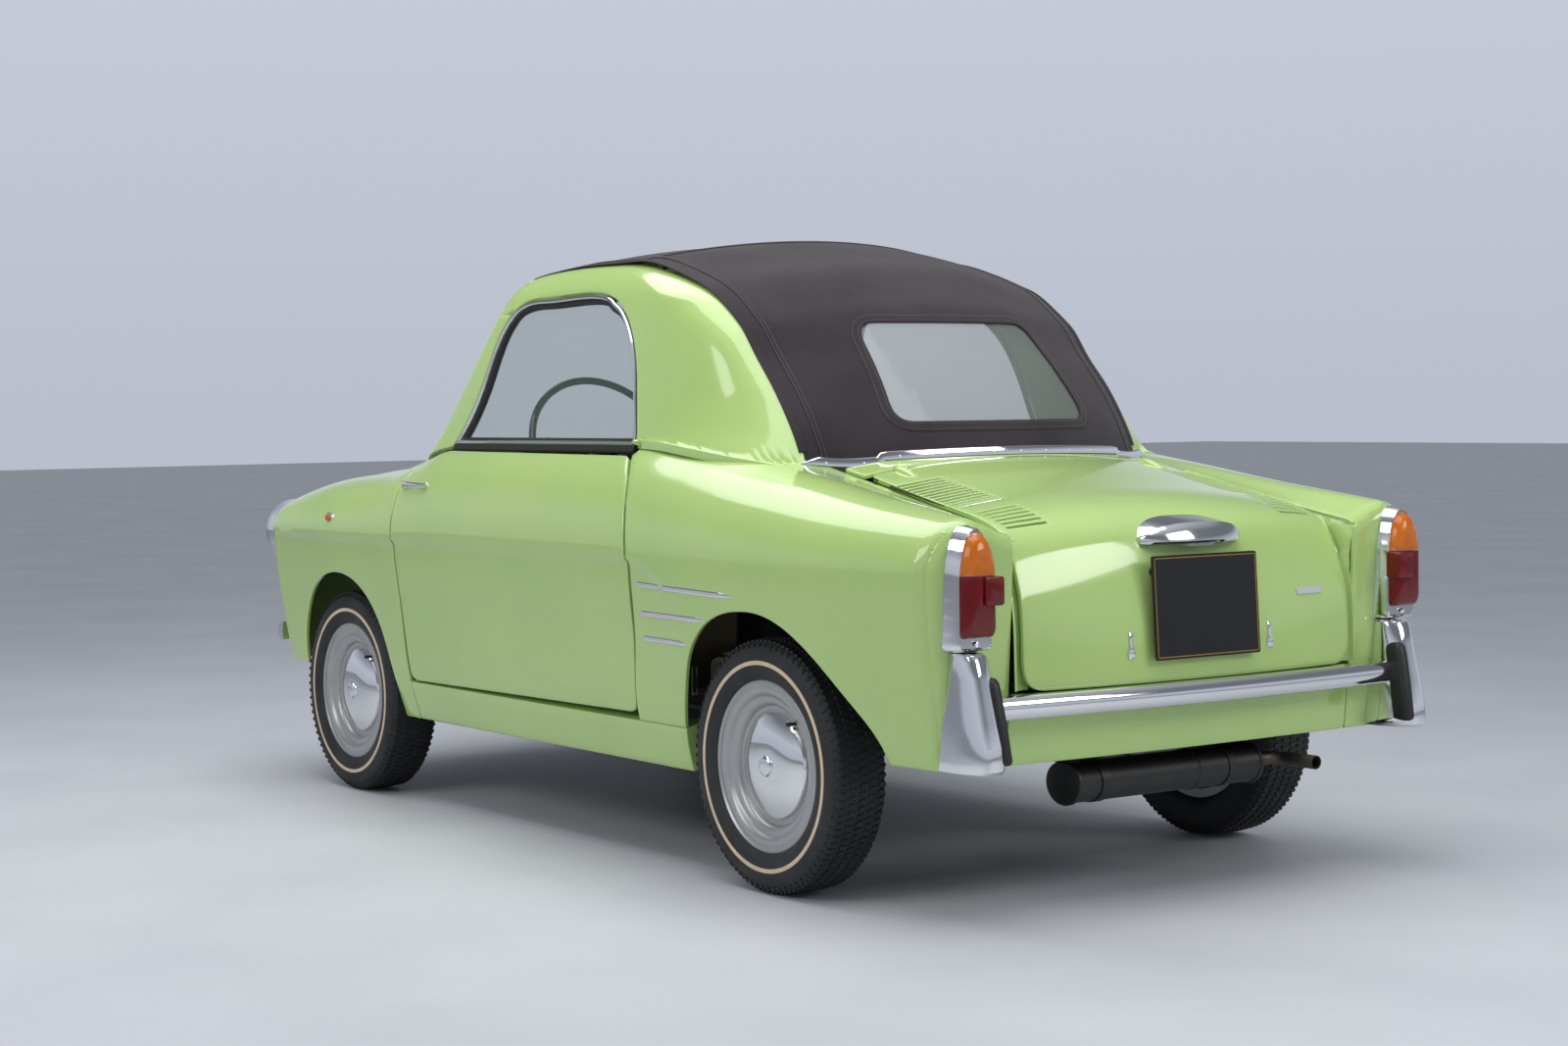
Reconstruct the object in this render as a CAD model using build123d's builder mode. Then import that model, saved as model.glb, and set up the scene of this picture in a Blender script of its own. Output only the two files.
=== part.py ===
"""Microcar: a two-door open-top runabout with a folding fabric roof and a rear engine.

Millimetres. +X points to the rear, +Y to the car's right, +Z up. The origin is on the floor,
half way along the car, on its centreline.
"""
import os
from bisect import bisect_right
from math import cos, hypot, pi, radians, sin

from build123d import *

# ---------------------------------------------------------------- driving dimensions
WHEELBASE = 1840
WHEELBASE_MIDDLE = -47        # the rear overhang is longer than the front one
FRONT_TRACK = 1121
REAR_TRACK = 1135
TYRE_RADIUS = 250
TYRE_WIDTH = 128
FLANGE_RADIUS = 167           # lip of a twelve-inch rim
HUBCAP_RADIUS = 105
SKIN = 14                     # wing, bonnet and lid, over their pressed frames
DOOR_THICKNESS = 60
SHUT_GAP = 6                  # round doors and lids
SEAT_GAP = 0.3                # between pieces that rest on each other
KINGPIN_HALF_TRACK = 500
STEERING_WHEEL_RADIUS = 190

FRONT_AXLE = WHEELBASE_MIDDLE - WHEELBASE / 2
REAR_AXLE = WHEELBASE_MIDDLE + WHEELBASE / 2

# ---------------------------------------------------------------- body lines
# how far the side stands in from its widest, as (height, inset)
SIDE_INSET = [(205, 74), (300, 48), (400, 28), (520, 10), (640, 0)]
CREASE_HEIGHT = 640
# along the car, as (place, value)
CREASE_HALF = [(-1500, 640), (-1300, 655), (-1000, 668), (-600, 670), (700, 670), (1000, 664), (1300, 640), (1480, 615)]
RIDGE_HEIGHT = [(-1500, 672), (-1433, 702), (-1309, 744), (-1127, 777), (-800, 806), (-640, 838), (-480, 876),
                (-200, 886), (343, 880), (570, 857), (853, 820), (1143, 777), (1363, 748), (1480, 730)]
RIDGE_HALF = [(-1500, 500), (-800, 500), (-400, 515), (343, 515), (700, 500), (1000, 505), (1430, 535)]
TOP_HEIGHT = [(-1500, 690), (-1440, 716), (-1370, 745), (-1240, 777), (-1060, 806), (-800, 838), (-640, 862),
              (-300, 890), (400, 890), (780, 860), (908, 845), (1203, 784), (1340, 752), (1480, 720)]
# height of the deck beside the engine lid
DECK_SIDE = [(-1500, 680), (-1433, 709), (-1309, 752), (-1127, 787), (-800, 820), (-600, 855), (-300, 888), (400, 886),
             (700, 850), (853, 817), (908, 806), (1203, 748), (1340, 718), (1480, 690)]
SHOULDER_POWER = 2.1
BODY_STATIONS = [-1490, -1433, -1309, -1127, -960, -800, -640, -480, -200, 100, 343, 570, 720, 853, 1000, 1143,
                 1300, 1400, 1470]
# plan outline, as (height, value)
NOSE = [(190, -1400), (330, -1440), (480, -1468), (600, -1480), (700, -1474), (900, -1440)]
TAIL = [(190, 1385), (300, 1400), (480, 1415), (720, 1428), (900, 1432)]
PLAN_LEVELS = [190, 400, 600, 740, 900]

# cabin lines, as (height, value)
CABIN_HALF_WIDTH = [(780, 588), (830, 586), (860, 579), (900, 566), (1000, 546), (1080, 531),
                    (1150, 516), (1200, 500), (1240, 476), (1270, 448), (1300, 410), (1340, 360)]
WINDSCREEN = [(780, -815), (840, -777), (1000, -655), (1180, -512), (1243, -455), (1340, -360)]
WINDSCREEN_BOW = [(780, 125), (840, 122), (1180, 88), (1340, 70)]
PILLAR_LENGTH = [(780, 95), (1340, 110)]
PILLAR_WIDTH = [(780, 65), (1340, 70)]
FABRIC_EDGE = [(780, 850), (830, 812), (900, 740), (1000, 655), (1100, 570), (1180, 463), (1230, 340),
               (1270, 200), (1340, 120)]
CABIN_LEVELS = [780, 840, 900, 1000, 1100, 1180, 1230, 1270, 1340]
FABRIC_HALF_WIDTH = 444
QUARTER_START = 300           # where the cabin side starts to curve in towards the fabric

# roof height along the centreline, as (distance along the car, height)
ROOF_LINE = [(-860, 1120), (-620, 1222), (-520, 1262), (-407, 1292), (-250, 1311), (-50, 1320), (176, 1320), (463, 1262),
             (636, 1171), (705, 1101), (782, 1028), (860, 930), (915, 820), (960, 700)]
ROOF_STATIONS = [-850, -620, -407, -250, -50, 176, 330, 463, 560, 636, 705, 782, 860, 930]
HEADER_END = -300             # windscreen header, where the fabric starts

# engine lid, (distance along the car, height) down its middle and near its side
LID_MIDDLE = [(850, 857), (908, 845), (1203, 784), (1340, 748), (1395, 705), (1414, 655), (1440, 500), (1442, 410)]
LID_SIDE = [(850, 822), (908, 810), (1203, 750), (1318, 722), (1362, 690), (1388, 640), (1413, 513), (1415, 410)]
LID_SIDE_AT = 430
LID_FRONT = 925
LID_BOTTOM = 425
LID_HALF_WIDTH_TOP = 400
LID_HALF_WIDTH_BOTTOM = 430


def along(table, t):
    """Value at t of the monotone cubic through a table of (t, value) pairs."""
    ts = [pair[0] for pair in table]
    values = [pair[1] for pair in table]
    if t <= ts[0]:
        return values[0]
    if t >= ts[-1]:
        return values[-1]
    slopes = [(values[i + 1] - values[i]) / (ts[i + 1] - ts[i]) for i in range(len(ts) - 1)]
    tangents = [slopes[0]]
    for before, after in zip(slopes, slopes[1:]):
        turns = before * after <= 0
        tangents.append(0.0 if turns else 2 * before * after / (before + after))
    tangents.append(slopes[-1])
    i = min(bisect_right(ts, t) - 1, len(ts) - 2)
    span = ts[i + 1] - ts[i]
    s = (t - ts[i]) / span
    return ((2 * s**3 - 3 * s**2 + 1) * values[i] + (s**3 - 2 * s**2 + s) * span * tangents[i]
            + (-2 * s**3 + 3 * s**2) * values[i + 1] + (s**3 - s**2) * span * tangents[i + 1])


def bezier(a, b, c, d, count):
    """Points on a cubic Bezier curve, without its first one."""
    points = []
    for k in range(1, count + 1):
        t = k / count
        q = 1 - t
        points.append(tuple(q**3 * a[i] + 3 * q * q * t * b[i] + 3 * q * t * t * c[i] + t**3 * d[i] for i in (0, 1)))
    return points


def half_outline(half, front, bow, length, width, rear, rear_bow, rear_length, rear_width):
    """Right half of a plan outline, from the middle of the front round to the middle of the rear."""
    grip = 0.55
    front_side = half - width
    points = [(front + bow * (k / 4) ** 2, front_side * k / 4) for k in range(5)]
    a = points[-1]
    b = (a[0] + length, half)
    lean = 2 * bow / front_side * width * grip
    points += bezier(a, (a[0] + lean, a[1] + width * grip), (b[0] - length * grip, half), b, 4)
    d = (rear - rear_bow, half - rear_width)
    c = (d[0] - rear_length, half)
    points += [(b[0] + (c[0] - b[0]) * k / 7, half) for k in range(1, 8)]
    lean = 2 * rear_bow / d[1] * rear_width * grip
    points += bezier(c, (c[0] + rear_length * grip, half), (d[0] - lean, d[1] + rear_width * grip), d, 4)
    points += [(rear - rear_bow * (1 - k / 4) ** 2, d[1] * (1 - k / 4)) for k in range(1, 5)]
    return points


def plan_outline(z, inset):
    return half_outline(720 - inset, along(NOSE, z) + inset, 45, 210, 190, along(TAIL, z) - inset, 22, 170, 150)


def body_section(x, inset):
    """Right half of the section at x, from the sill up and over the shoulder to the centreline."""
    half = along(CREASE_HALF, x) - inset
    points = [(half - along(SIDE_INSET, z), z) for z in (205, 300, 400, 520)]
    ridge = along(RIDGE_HEIGHT, x) - inset
    ridge_half = along(RIDGE_HALF, x)
    for k in range(6):
        turn = k / 5.5 * pi / 2
        points.append((ridge_half + (half - ridge_half) * cos(turn) ** (2 / SHOULDER_POWER),
                       CREASE_HEIGHT + (ridge - CREASE_HEIGHT) * sin(turn) ** (2 / SHOULDER_POWER)))
    points.append((ridge_half, ridge))
    side = along(DECK_SIDE, x) - inset
    top = along(TOP_HEIGHT, x) - inset
    points.append((455, side + (ridge - side) * 0.25))
    points += [(y, top + (side - top) * (y / 400) ** 2) for y in (390, 270, 140, 0)]
    return points


def cabin_outline(z, inset):
    half = along(CABIN_HALF_WIDTH, z) - inset
    rear = along(FABRIC_EDGE, z) + 130 - inset
    corner_width = half - (FABRIC_HALF_WIDTH - 60) * min(1.0, half / 480)
    corner_length = min(rear - 60 - QUARTER_START, 450) if z < 1180 else 200
    return half_outline(half, along(WINDSCREEN, z) + inset, along(WINDSCREEN_BOW, z), along(PILLAR_LENGTH, z),
                        along(PILLAR_WIDTH, z), rear, 60, corner_length, corner_width)


def chord_fractions(loop):
    """Running length round a closed loop, from 0 to 1."""
    total = [0.0]
    for here, there in zip(loop, loop[1:] + loop[:1]):
        total.append(total[-1] + hypot(there[0] - here[0], there[1] - here[1]))
    return [length / total[-1] for length in total]


def closed(half):
    """Whole outline from its right half, starting in the middle of the rear."""
    return half[::-1] + [(x, -y) for x, y in half[1:-1]]


def stacked_block(outline, levels, typical, inset):
    """Solid lofted upwards through closed plan outlines."""
    steps = chord_fractions(closed(outline(typical, inset)))
    with BuildPart() as block:
        for z in levels:
            with BuildSketch(Plane.XY.offset(z)):
                with BuildLine():
                    add(Edge.make_spline(closed(outline(z, inset)), periodic=True, parameters=steps))
                make_face()
        loft()
    return block.part


def mirrored(half):
    """Whole section from its right half."""
    return half + [(-y, z) for y, z in half[-2::-1]]


def open_fractions(points):
    """Running length along an open row of points, from 0 to 1."""
    steps = chord_fractions(points)[:len(points)]
    return [step / steps[-1] for step in steps]


def body_sections(inset, wall=0, stations=BODY_STATIONS):
    """Body lofted through its stations: solid inside the inset surface, or a shell of the given wall."""
    outer_steps = open_fractions(mirrored(body_section(100, inset)))
    inner_steps = open_fractions(mirrored(body_section(100, inset + wall)))
    with BuildPart() as block:
        for x in stations:
            outer = mirrored(body_section(x, inset))
            with BuildSketch(Plane.YZ.offset(x)):
                with BuildLine():
                    add(Edge.make_spline(outer, parameters=outer_steps))
                    if wall:
                        inner = mirrored(body_section(x, inset + wall))
                        add(Edge.make_spline(inner, parameters=inner_steps))
                        Line(outer[0], inner[0])
                        Line(outer[-1], inner[-1])
                    else:
                        Line(outer[-1], outer[0])
                make_face()
        loft()
    return block.part


def cabin_block(inset):
    return stacked_block(cabin_outline, CABIN_LEVELS, 1000, inset)


def roof_height(x, y):
    stretched = 3 + (x - 3) * (1 + 0.166 * (y / 466) ** 2)
    return along(ROOF_LINE, stretched) - 50 * (y / 440) ** 2


def roof_block(inset):
    """Solid under the roof surface, lofted from front to rear."""
    wide = 620
    with BuildPart() as block:
        for x in ROOF_STATIONS:
            points = [(y, roof_height(x, y) - inset) for y in (-wide, -450, -300, -150, 0, 150, 300, 450, wide)]
            with BuildSketch(Plane.YZ.offset(x)):
                with BuildLine():
                    add(Edge.make_spline(points, parameters=[(y + wide) / (2 * wide) for y, z in points]))
                    Polyline(points[-1], (wide, 300), (-wide, 300), points[0])
                make_face()
        loft()
    return block.part


def lid_point(row, y):
    """Point of the lid's surface: a row of its outline, front to bottom, at the given width."""
    middle = LID_MIDDLE[row]
    side = LID_SIDE[row]
    blend = (y / LID_SIDE_AT) ** 2
    return (middle[0] + (side[0] - middle[0]) * blend, middle[1] + (side[1] - middle[1]) * blend)


def lid_block(inset):
    """Closed solid under the lid's outer surface, lofted across the car."""
    steps = open_fractions(LID_MIDDLE)
    with BuildPart() as block:
        for y in (-470, -300, -150, 0, 150, 300, 470):
            outer = [lid_point(k, y) for k in range(len(LID_MIDDLE))]
            moved = []
            for k, (x, z) in enumerate(outer):
                before = outer[max(k - 1, 0)]
                after = outer[min(k + 1, len(outer) - 1)]
                dx, dz = after[0] - before[0], after[1] - before[1]
                moved.append((x + dz / hypot(dx, dz) * inset, z - dx / hypot(dx, dz) * inset))
            with BuildSketch(Plane.XZ.offset(-y)):
                with BuildLine():
                    add(Edge.make_spline(moved, parameters=steps))
                    Polyline(moved[-1], (800, moved[-1][1]), (800, moved[0][1]), moved[0])
                make_face()
        loft()
    return block.part


# ---------------------------------------------------------------- tools for cutting panels
def side_prism(points, y_from, y_to, curved=False):
    """Prism across the car whose side view is the closed outline."""
    with BuildPart() as prism:
        with BuildSketch(Plane.XZ.offset(-y_from)):
            with BuildLine():
                if curved:
                    Spline(*points)
                    Line(points[-1], points[0])
                else:
                    Polyline(*points, close=True)
            make_face()
        extrude(amount=-(y_to - y_from))
    return prism.part


def plan_prism(points, z_from, z_to):
    with BuildPart() as prism:
        with BuildSketch(Plane.XY.offset(z_from)):
            with BuildLine():
                Polyline(*points, close=True)
            make_face()
        extrude(amount=z_to - z_from)
    return prism.part


def slab(x_from, x_to, y_from, y_to, z_from, z_to):
    """Plain block between two corners, used to trim and cut."""
    with BuildPart() as block:
        with Locations(((x_from + x_to) / 2, (y_from + y_to) / 2, (z_from + z_to) / 2)):
            Box(x_to - x_from, y_to - y_from, z_to - z_from)
    return block.part


os.makedirs("parts", exist_ok=True)


def finish(block, name):
    """Label a finished piece and write it as its own STEP file."""
    block.part.label = name
    export_step(block.part, f"parts/{name}.step")


def finish_pair(right, name):
    """Write a piece of the right side, and its mirror image for the left."""
    finish(right, name + "_right")
    with BuildPart() as left:
        mirror(right.part, about=Plane.XZ)
    finish(left, name + "_left")


# ---------------------------------------------------------------- outlines
PILLAR = 30                   # thickness of pillars and cabin sides
FABRIC = 12
OVERHANG_HEIGHT = 300         # lower edge of the body in front of the front wheels
REAR_OVERHANG_HEIGHT = 288    # and behind the rear ones
BONNET_FRONT = -1405
BONNET_REAR = -850
BONNET_HALF_FRONT = 330
BONNET_HALF_REAR = 430
DOOR_FRONT = -630
DOOR_MIDDLE = (-100, 600)
DOOR_OUTLINE = [(-622, 300), (413, 312), (436, 470), (443, 640), (428, 735), (393, 810), (349, 853),
                (-478, 858), (-560, 846), (-640, 818), (-634, 640)]
WINDOW_OUTLINE = [(-478, 866), (-397, 990), (-347, 1112), (-280, 1184), (-147, 1203), (33, 1206), (160, 1182),
                  (240, 1120), (285, 1040), (320, 925), (340, 866)]
WINDOW_MIDDLE = (-60, 1000)
WHEEL_ARCH_REAR = [(575, 150), (581, 268), (613, 381), (651, 458), (716, 517), (786, 544), (847, 552), (913, 549),
                   (1028, 503), (1150, 403), (1226, 320), (1250, 150)]
WHEEL_ARCH_FRONT = [(-1236, 150), (-1230, 268), (-1198, 400), (-1112, 505), (-967, 548), (-824, 505), (-740, 400),
                    (-708, 268), (-700, 150)]


def grown(points, amount, middle):
    """Outline moved away from its middle point, for a running gap."""
    moved = []
    for x, z in points:
        reach = hypot(x - middle[0], z - middle[1])
        moved.append((x + (x - middle[0]) / reach * amount, z + (z - middle[1]) / reach * amount))
    return moved


# ---------------------------------------------------------------- blanks that the panels are cut from
plan_block = stacked_block(plan_outline, PLAN_LEVELS, 600, 0)
plan_inside = stacked_block(plan_outline, PLAN_LEVELS, 600, SKIN)
body_blank = body_sections(0)
inner_blank = body_sections(SKIN + SEAT_GAP)
skin_blank = body_sections(0, SKIN)
door_blank = body_sections(0, DOOR_THICKNESS)
cabin_blank = cabin_block(0)
cabin_inside = cabin_block(PILLAR)
cabin_wall = cabin_blank - cabin_inside
roof_blank = roof_block(0)
lid_blank = lid_block(0)
# the same surfaces a seating gap proud, to trim what rests on them
plan_clear = stacked_block(plan_outline, PLAN_LEVELS, 600, -SEAT_GAP)
body_clear = body_sections(-SEAT_GAP)
lid_clear = lid_block(-SEAT_GAP)

with BuildPart() as cabin_well_part:
    with BuildSketch(Plane.XY.offset(500)):
        with BuildLine():
            add(Edge.make_spline(closed(cabin_outline(857, 45)), periodic=True))
        make_face()
    extrude(amount=900)
    add(slab(-900, 790, -700, 700, 500, 1500), mode=Mode.INTERSECT)
cabin_well = cabin_well_part.part

# limits of the nose and tail walls, well inside the skin
wall_limit = body_sections(SKIN + 2)
front_arch = side_prism(WHEEL_ARCH_FRONT, 300, 800, curved=True)
rear_arch = side_prism(WHEEL_ARCH_REAR, 300, 800, curved=True)
arches = [arch for half in (front_arch, rear_arch) for arch in (half, mirror(half, about=Plane.XZ, mode=Mode.PRIVATE))]
window_hole = side_prism(WINDOW_OUTLINE, -800, 800, curved=True)



def windscreen_cut(margin):
    """Prism through the windscreen, smaller by the margin."""
    with BuildPart() as prism:
        with BuildSketch(Plane.YZ.offset(-1000)) as view:
            with BuildLine():
                low, high = 530 - margin, 412 - margin
                Polyline((-low, 866 + margin), (low, 866 + margin), (high, 1222 - margin), (-high, 1222 - margin), close=True)
            make_face()
            chamfer(view.vertices(), 32)
        extrude(amount=660)
    return prism.part


windscreen_hole = windscreen_cut(0)

# ---------------------------------------------------------------- body panels
# front wings and scuttle top: one welded shell with the bonnet's opening
with BuildPart() as front_shell:
    add(skin_blank)
    add(plan_block, mode=Mode.INTERSECT)
    add(slab(-1600, DOOR_FRONT, -800, 800, 100, 1000), mode=Mode.INTERSECT)
    add(plan_prism([(BONNET_FRONT, -BONNET_HALF_FRONT - SHUT_GAP),
                    (BONNET_REAR + SHUT_GAP, -BONNET_HALF_REAR - SHUT_GAP),
                    (BONNET_REAR + SHUT_GAP, BONNET_HALF_REAR + SHUT_GAP),
                    (BONNET_FRONT, BONNET_HALF_FRONT + SHUT_GAP)], 600, 1000), mode=Mode.SUBTRACT)
    for cutter in [cabin_well, slab(-1600, -1222, -800, 800, 100, OVERHANG_HEIGHT), *arches,
                   side_prism(DOOR_OUTLINE, -800, 800)]:
        add(cutter, mode=Mode.SUBTRACT)
finish(front_shell, "front_shell")

with BuildPart() as nose_panel:
    add(plan_block)
    add(plan_inside, mode=Mode.SUBTRACT)
    add(slab(-1600, -1250, -600, 600, OVERHANG_HEIGHT, 676), mode=Mode.INTERSECT)
    add(wall_limit, mode=Mode.INTERSECT)
finish(nose_panel, "nose_panel")

with BuildPart() as bonnet:
    add(skin_blank)
    add(plan_prism([(BONNET_FRONT + SHUT_GAP, -BONNET_HALF_FRONT), (BONNET_REAR, -BONNET_HALF_REAR),
                    (BONNET_REAR, BONNET_HALF_REAR), (BONNET_FRONT + SHUT_GAP, BONNET_HALF_FRONT)],
                   600, 1000), mode=Mode.INTERSECT)
finish(bonnet, "bonnet")

# doors, each as thick as the whole door
with BuildPart() as door_right:
    add(door_blank)
    add(side_prism(grown(DOOR_OUTLINE, -SHUT_GAP, DOOR_MIDDLE), 520, 800), mode=Mode.INTERSECT)
    add(cabin_well, mode=Mode.SUBTRACT)
finish_pair(door_right, "door")

# sills under the doors
SILL_HEIGHT = 298
SILL_UNDERSIDE = 207          # a workshop jack lifts here
with BuildPart() as sill_right:
    add(door_blank)
    add(slab(DOOR_FRONT + SEAT_GAP, 590, 300, 800, SILL_UNDERSIDE, SILL_HEIGHT), mode=Mode.INTERSECT)
    add(rear_arch, mode=Mode.SUBTRACT)
finish_pair(sill_right, "sill")

# rear quarters and fins, one welded shell round the engine lid's opening
LID_REGION = [(800, -LID_HALF_WIDTH_TOP - 10), (800, LID_HALF_WIDTH_TOP + 10),
              (LID_FRONT + 50, LID_HALF_WIDTH_TOP + 12), (1600, LID_HALF_WIDTH_BOTTOM + 12),
              (1600, -LID_HALF_WIDTH_BOTTOM - 12), (LID_FRONT + 50, -LID_HALF_WIDTH_TOP - 12)]
with BuildPart() as rear_shell:
    add(skin_blank)
    add(plan_block, mode=Mode.INTERSECT)
    add(slab(345, 1600, -800, 800, 100, 1000), mode=Mode.INTERSECT)
    for cutter in [cabin_well, slab(1240, 1600, -800, 800, 100, REAR_OVERHANG_HEIGHT),
                   side_prism(DOOR_OUTLINE, -800, 800), plan_prism(LID_REGION, 100, 1000), *arches,
                   slab(300, 590 + SEAT_GAP, -800, 800, 100, SILL_HEIGHT + SEAT_GAP)]:
        add(cutter, mode=Mode.SUBTRACT)
finish(rear_shell, "rear_shell")

with BuildPart() as tail_panel:
    add(plan_block)
    add(plan_inside, mode=Mode.SUBTRACT)
    add(slab(1250, 1600, 442, 640, REAR_OVERHANG_HEIGHT, 712), mode=Mode.INTERSECT)
    add(wall_limit, mode=Mode.INTERSECT)
    mirror(about=Plane.XZ)
finish(tail_panel, "tail_panel")

# engine lid, the deck in front of it and the removable valance below it
with BuildPart() as lid_skin:
    add(lid_blank)
    add(lid_block(SKIN), mode=Mode.SUBTRACT)
with BuildPart() as engine_lid:
    add(lid_skin.part)
    add(plan_prism([(LID_FRONT, -LID_HALF_WIDTH_TOP), (LID_FRONT, LID_HALF_WIDTH_TOP),
                    (1600, LID_HALF_WIDTH_BOTTOM), (1600, -LID_HALF_WIDTH_BOTTOM)], LID_BOTTOM, 1000),
        mode=Mode.INTERSECT)
finish(engine_lid, "engine_lid")
with BuildPart() as deck_panel:
    add(lid_skin.part)
    add(slab(852, LID_FRONT - SHUT_GAP, -LID_HALF_WIDTH_TOP - 8, LID_HALF_WIDTH_TOP + 8, 500, 1000),
        mode=Mode.INTERSECT)
finish(deck_panel, "deck_panel")
with BuildPart() as rear_valance:
    add(plan_block)
    add(plan_inside, mode=Mode.SUBTRACT)
    add(slab(1250, 1600, -441.7, 441.7, REAR_OVERHANG_HEIGHT, LID_BOTTOM - SHUT_GAP), mode=Mode.INTERSECT)
finish(rear_valance, "rear_valance")

# ---------------------------------------------------------------- greenhouse
with BuildPart() as body_top:
    add(body_clear)
    add(slab(HEADER_END, 900, -700, 700, 700, 1000), mode=Mode.INTERSECT)

# the frame stands on the scuttle: nearly level, dropping over the shoulders
SCUTTLE_LINE = [(0, 847.4), (200, 846.4), (400, 846), (455, 847.4), (480, 846), (500, 844), (520, 842),
                (540, 838.6), (560, 834.4), (576, 832), (600, 830)]
with BuildPart() as under_frame:
    with BuildSketch(Plane.YZ.offset(-900)):
        with BuildLine():
            right = SCUTTLE_LINE + [(700, 808), (700, 600)]
            Polyline(*right, *[(-y, z) for y, z in right[:0:-1]], close=True)
        make_face()
    extrude(amount=900 + DOOR_FRONT + SEAT_GAP)
    door_line = [(DOOR_FRONT - 10, 700), (DOOR_FRONT - 10, 826), (-560, 852), (-478, 864), (-290, 866), (-290, 700)]
    add(side_prism(door_line, -700, 700))
front_wall = cabin_wall & slab(-900, HEADER_END, -700, 700, 700, 1400)
with BuildPart() as windscreen_frame:
    add(front_wall)
    for cutter in [window_hole, windscreen_hole, under_frame.part]:
        add(cutter, mode=Mode.SUBTRACT)
    add(roof_blank, mode=Mode.INTERSECT)

with BuildPart() as header:
    add(roof_blank)
    add(roof_block(PILLAR), mode=Mode.SUBTRACT)
    add(cabin_inside, mode=Mode.INTERSECT)
    add(slab(-500, HEADER_END - SEAT_GAP, -FABRIC_HALF_WIDTH, FABRIC_HALF_WIDTH, 1000, 1400), mode=Mode.INTERSECT)
with BuildPart() as windscreen_surround:
    add(windscreen_frame.part)
    add(header.part)
finish(windscreen_surround, "windscreen_frame")

with BuildPart() as cabin_side_right:
    add(cabin_blank)
    add(slab(HEADER_END + SEAT_GAP, 900, FABRIC_HALF_WIDTH, 700, 700, 1400), mode=Mode.INTERSECT)
    add(cabin_inside, mode=Mode.SUBTRACT)
    add(roof_blank, mode=Mode.INTERSECT)
    add(window_hole, mode=Mode.SUBTRACT)
    add(body_top.part, mode=Mode.SUBTRACT)
finish_pair(cabin_side_right, "cabin_side")



def rear_window_cut(margin):
    """Prism through the rear window, smaller by the margin."""
    with BuildPart() as prism:
        with BuildSketch(Plane.YZ.offset(500)) as view:
            with BuildLine():
                high, low = 225 - margin, 255 - margin
                Polyline((-high, 1122 - margin), (-low, 915 + margin), (low, 915 + margin), (high, 1122 - margin), close=True)
            make_face()
            fillet(view.vertices(), 38)
        extrude(amount=500)
    return prism.part


with BuildPart() as fabric_roof:
    add(roof_blank)
    add(roof_block(FABRIC), mode=Mode.SUBTRACT)
    add(slab(HEADER_END, 930, SEAT_GAP - FABRIC_HALF_WIDTH, FABRIC_HALF_WIDTH - SEAT_GAP, 700, 1400),
        mode=Mode.INTERSECT)
    add(body_top.part, mode=Mode.SUBTRACT)
    add(lid_clear, mode=Mode.SUBTRACT)
    add(rear_window_cut(0), mode=Mode.SUBTRACT)
finish(fabric_roof, "fabric_roof")
with BuildPart() as rear_window:
    add(roof_block(4))
    add(roof_block(8), mode=Mode.SUBTRACT)
    add(rear_window_cut(SEAT_GAP), mode=Mode.INTERSECT)
finish(rear_window, "rear_window")
with BuildPart() as windscreen:
    add(cabin_block(10))
    add(cabin_block(16), mode=Mode.SUBTRACT)
    add(windscreen_cut(SEAT_GAP), mode=Mode.INTERSECT)
finish(windscreen, "windscreen")

# chrome window frames, handles and glass ride on the doors
with BuildPart() as door_handle:
    with Locations((-570, 660, 773)):
        Box(80, 12, 16)
    with Locations((-595, 650, 773), (-545, 650, 773)):
        Box(14, 26, 14)
    add(body_clear, mode=Mode.SUBTRACT)
FRAME_WIDTH = 14
FRAME_DEPTH = 16
frame_outside = side_prism(grown(WINDOW_OUTLINE, -SHUT_GAP, WINDOW_MIDDLE), 350, 800, curved=True)
frame_inside = side_prism(grown(WINDOW_OUTLINE, -SHUT_GAP - FRAME_WIDTH, WINDOW_MIDDLE), 350, 800, curved=True)
glass_edge = side_prism(grown(WINDOW_OUTLINE, -SHUT_GAP - FRAME_WIDTH - SEAT_GAP, WINDOW_MIDDLE), 350, 800, curved=True)
with BuildPart() as window_frame_right:
    add(cabin_block(6))
    add(cabin_block(6 + FRAME_DEPTH), mode=Mode.SUBTRACT)
    add(frame_outside, mode=Mode.INTERSECT)
    add(frame_inside, mode=Mode.SUBTRACT)
    add(door_handle.part)
finish_pair(window_frame_right, "window_frame")
with BuildPart() as door_glass_right:
    add(cabin_block(12))
    add(cabin_block(16), mode=Mode.SUBTRACT)
    add(glass_edge, mode=Mode.INTERSECT)
finish_pair(door_glass_right, "door_glass")

# ---------------------------------------------------------------- inside
FLOOR_HEIGHT = 228
TUB_HALF = 345                # the luggage tub passes between the steered wheels
with BuildPart() as luggage_tub:
    with BuildSketch(Plane.XY.offset(310)):
        with Locations(((-1380 - 672) / 2, 0)):
            Rectangle(1380 - 672, 2 * TUB_HALF)
    extrude(amount=600)
    with BuildSketch(Plane.XY.offset(318)):
        with Locations(((-1372 - 680) / 2, 0)):
            Rectangle(1372 - 680, 2 * TUB_HALF - 16)
    extrude(amount=600, mode=Mode.SUBTRACT)
    add(inner_blank, mode=Mode.INTERSECT)
finish(luggage_tub, "luggage_tub")

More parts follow.
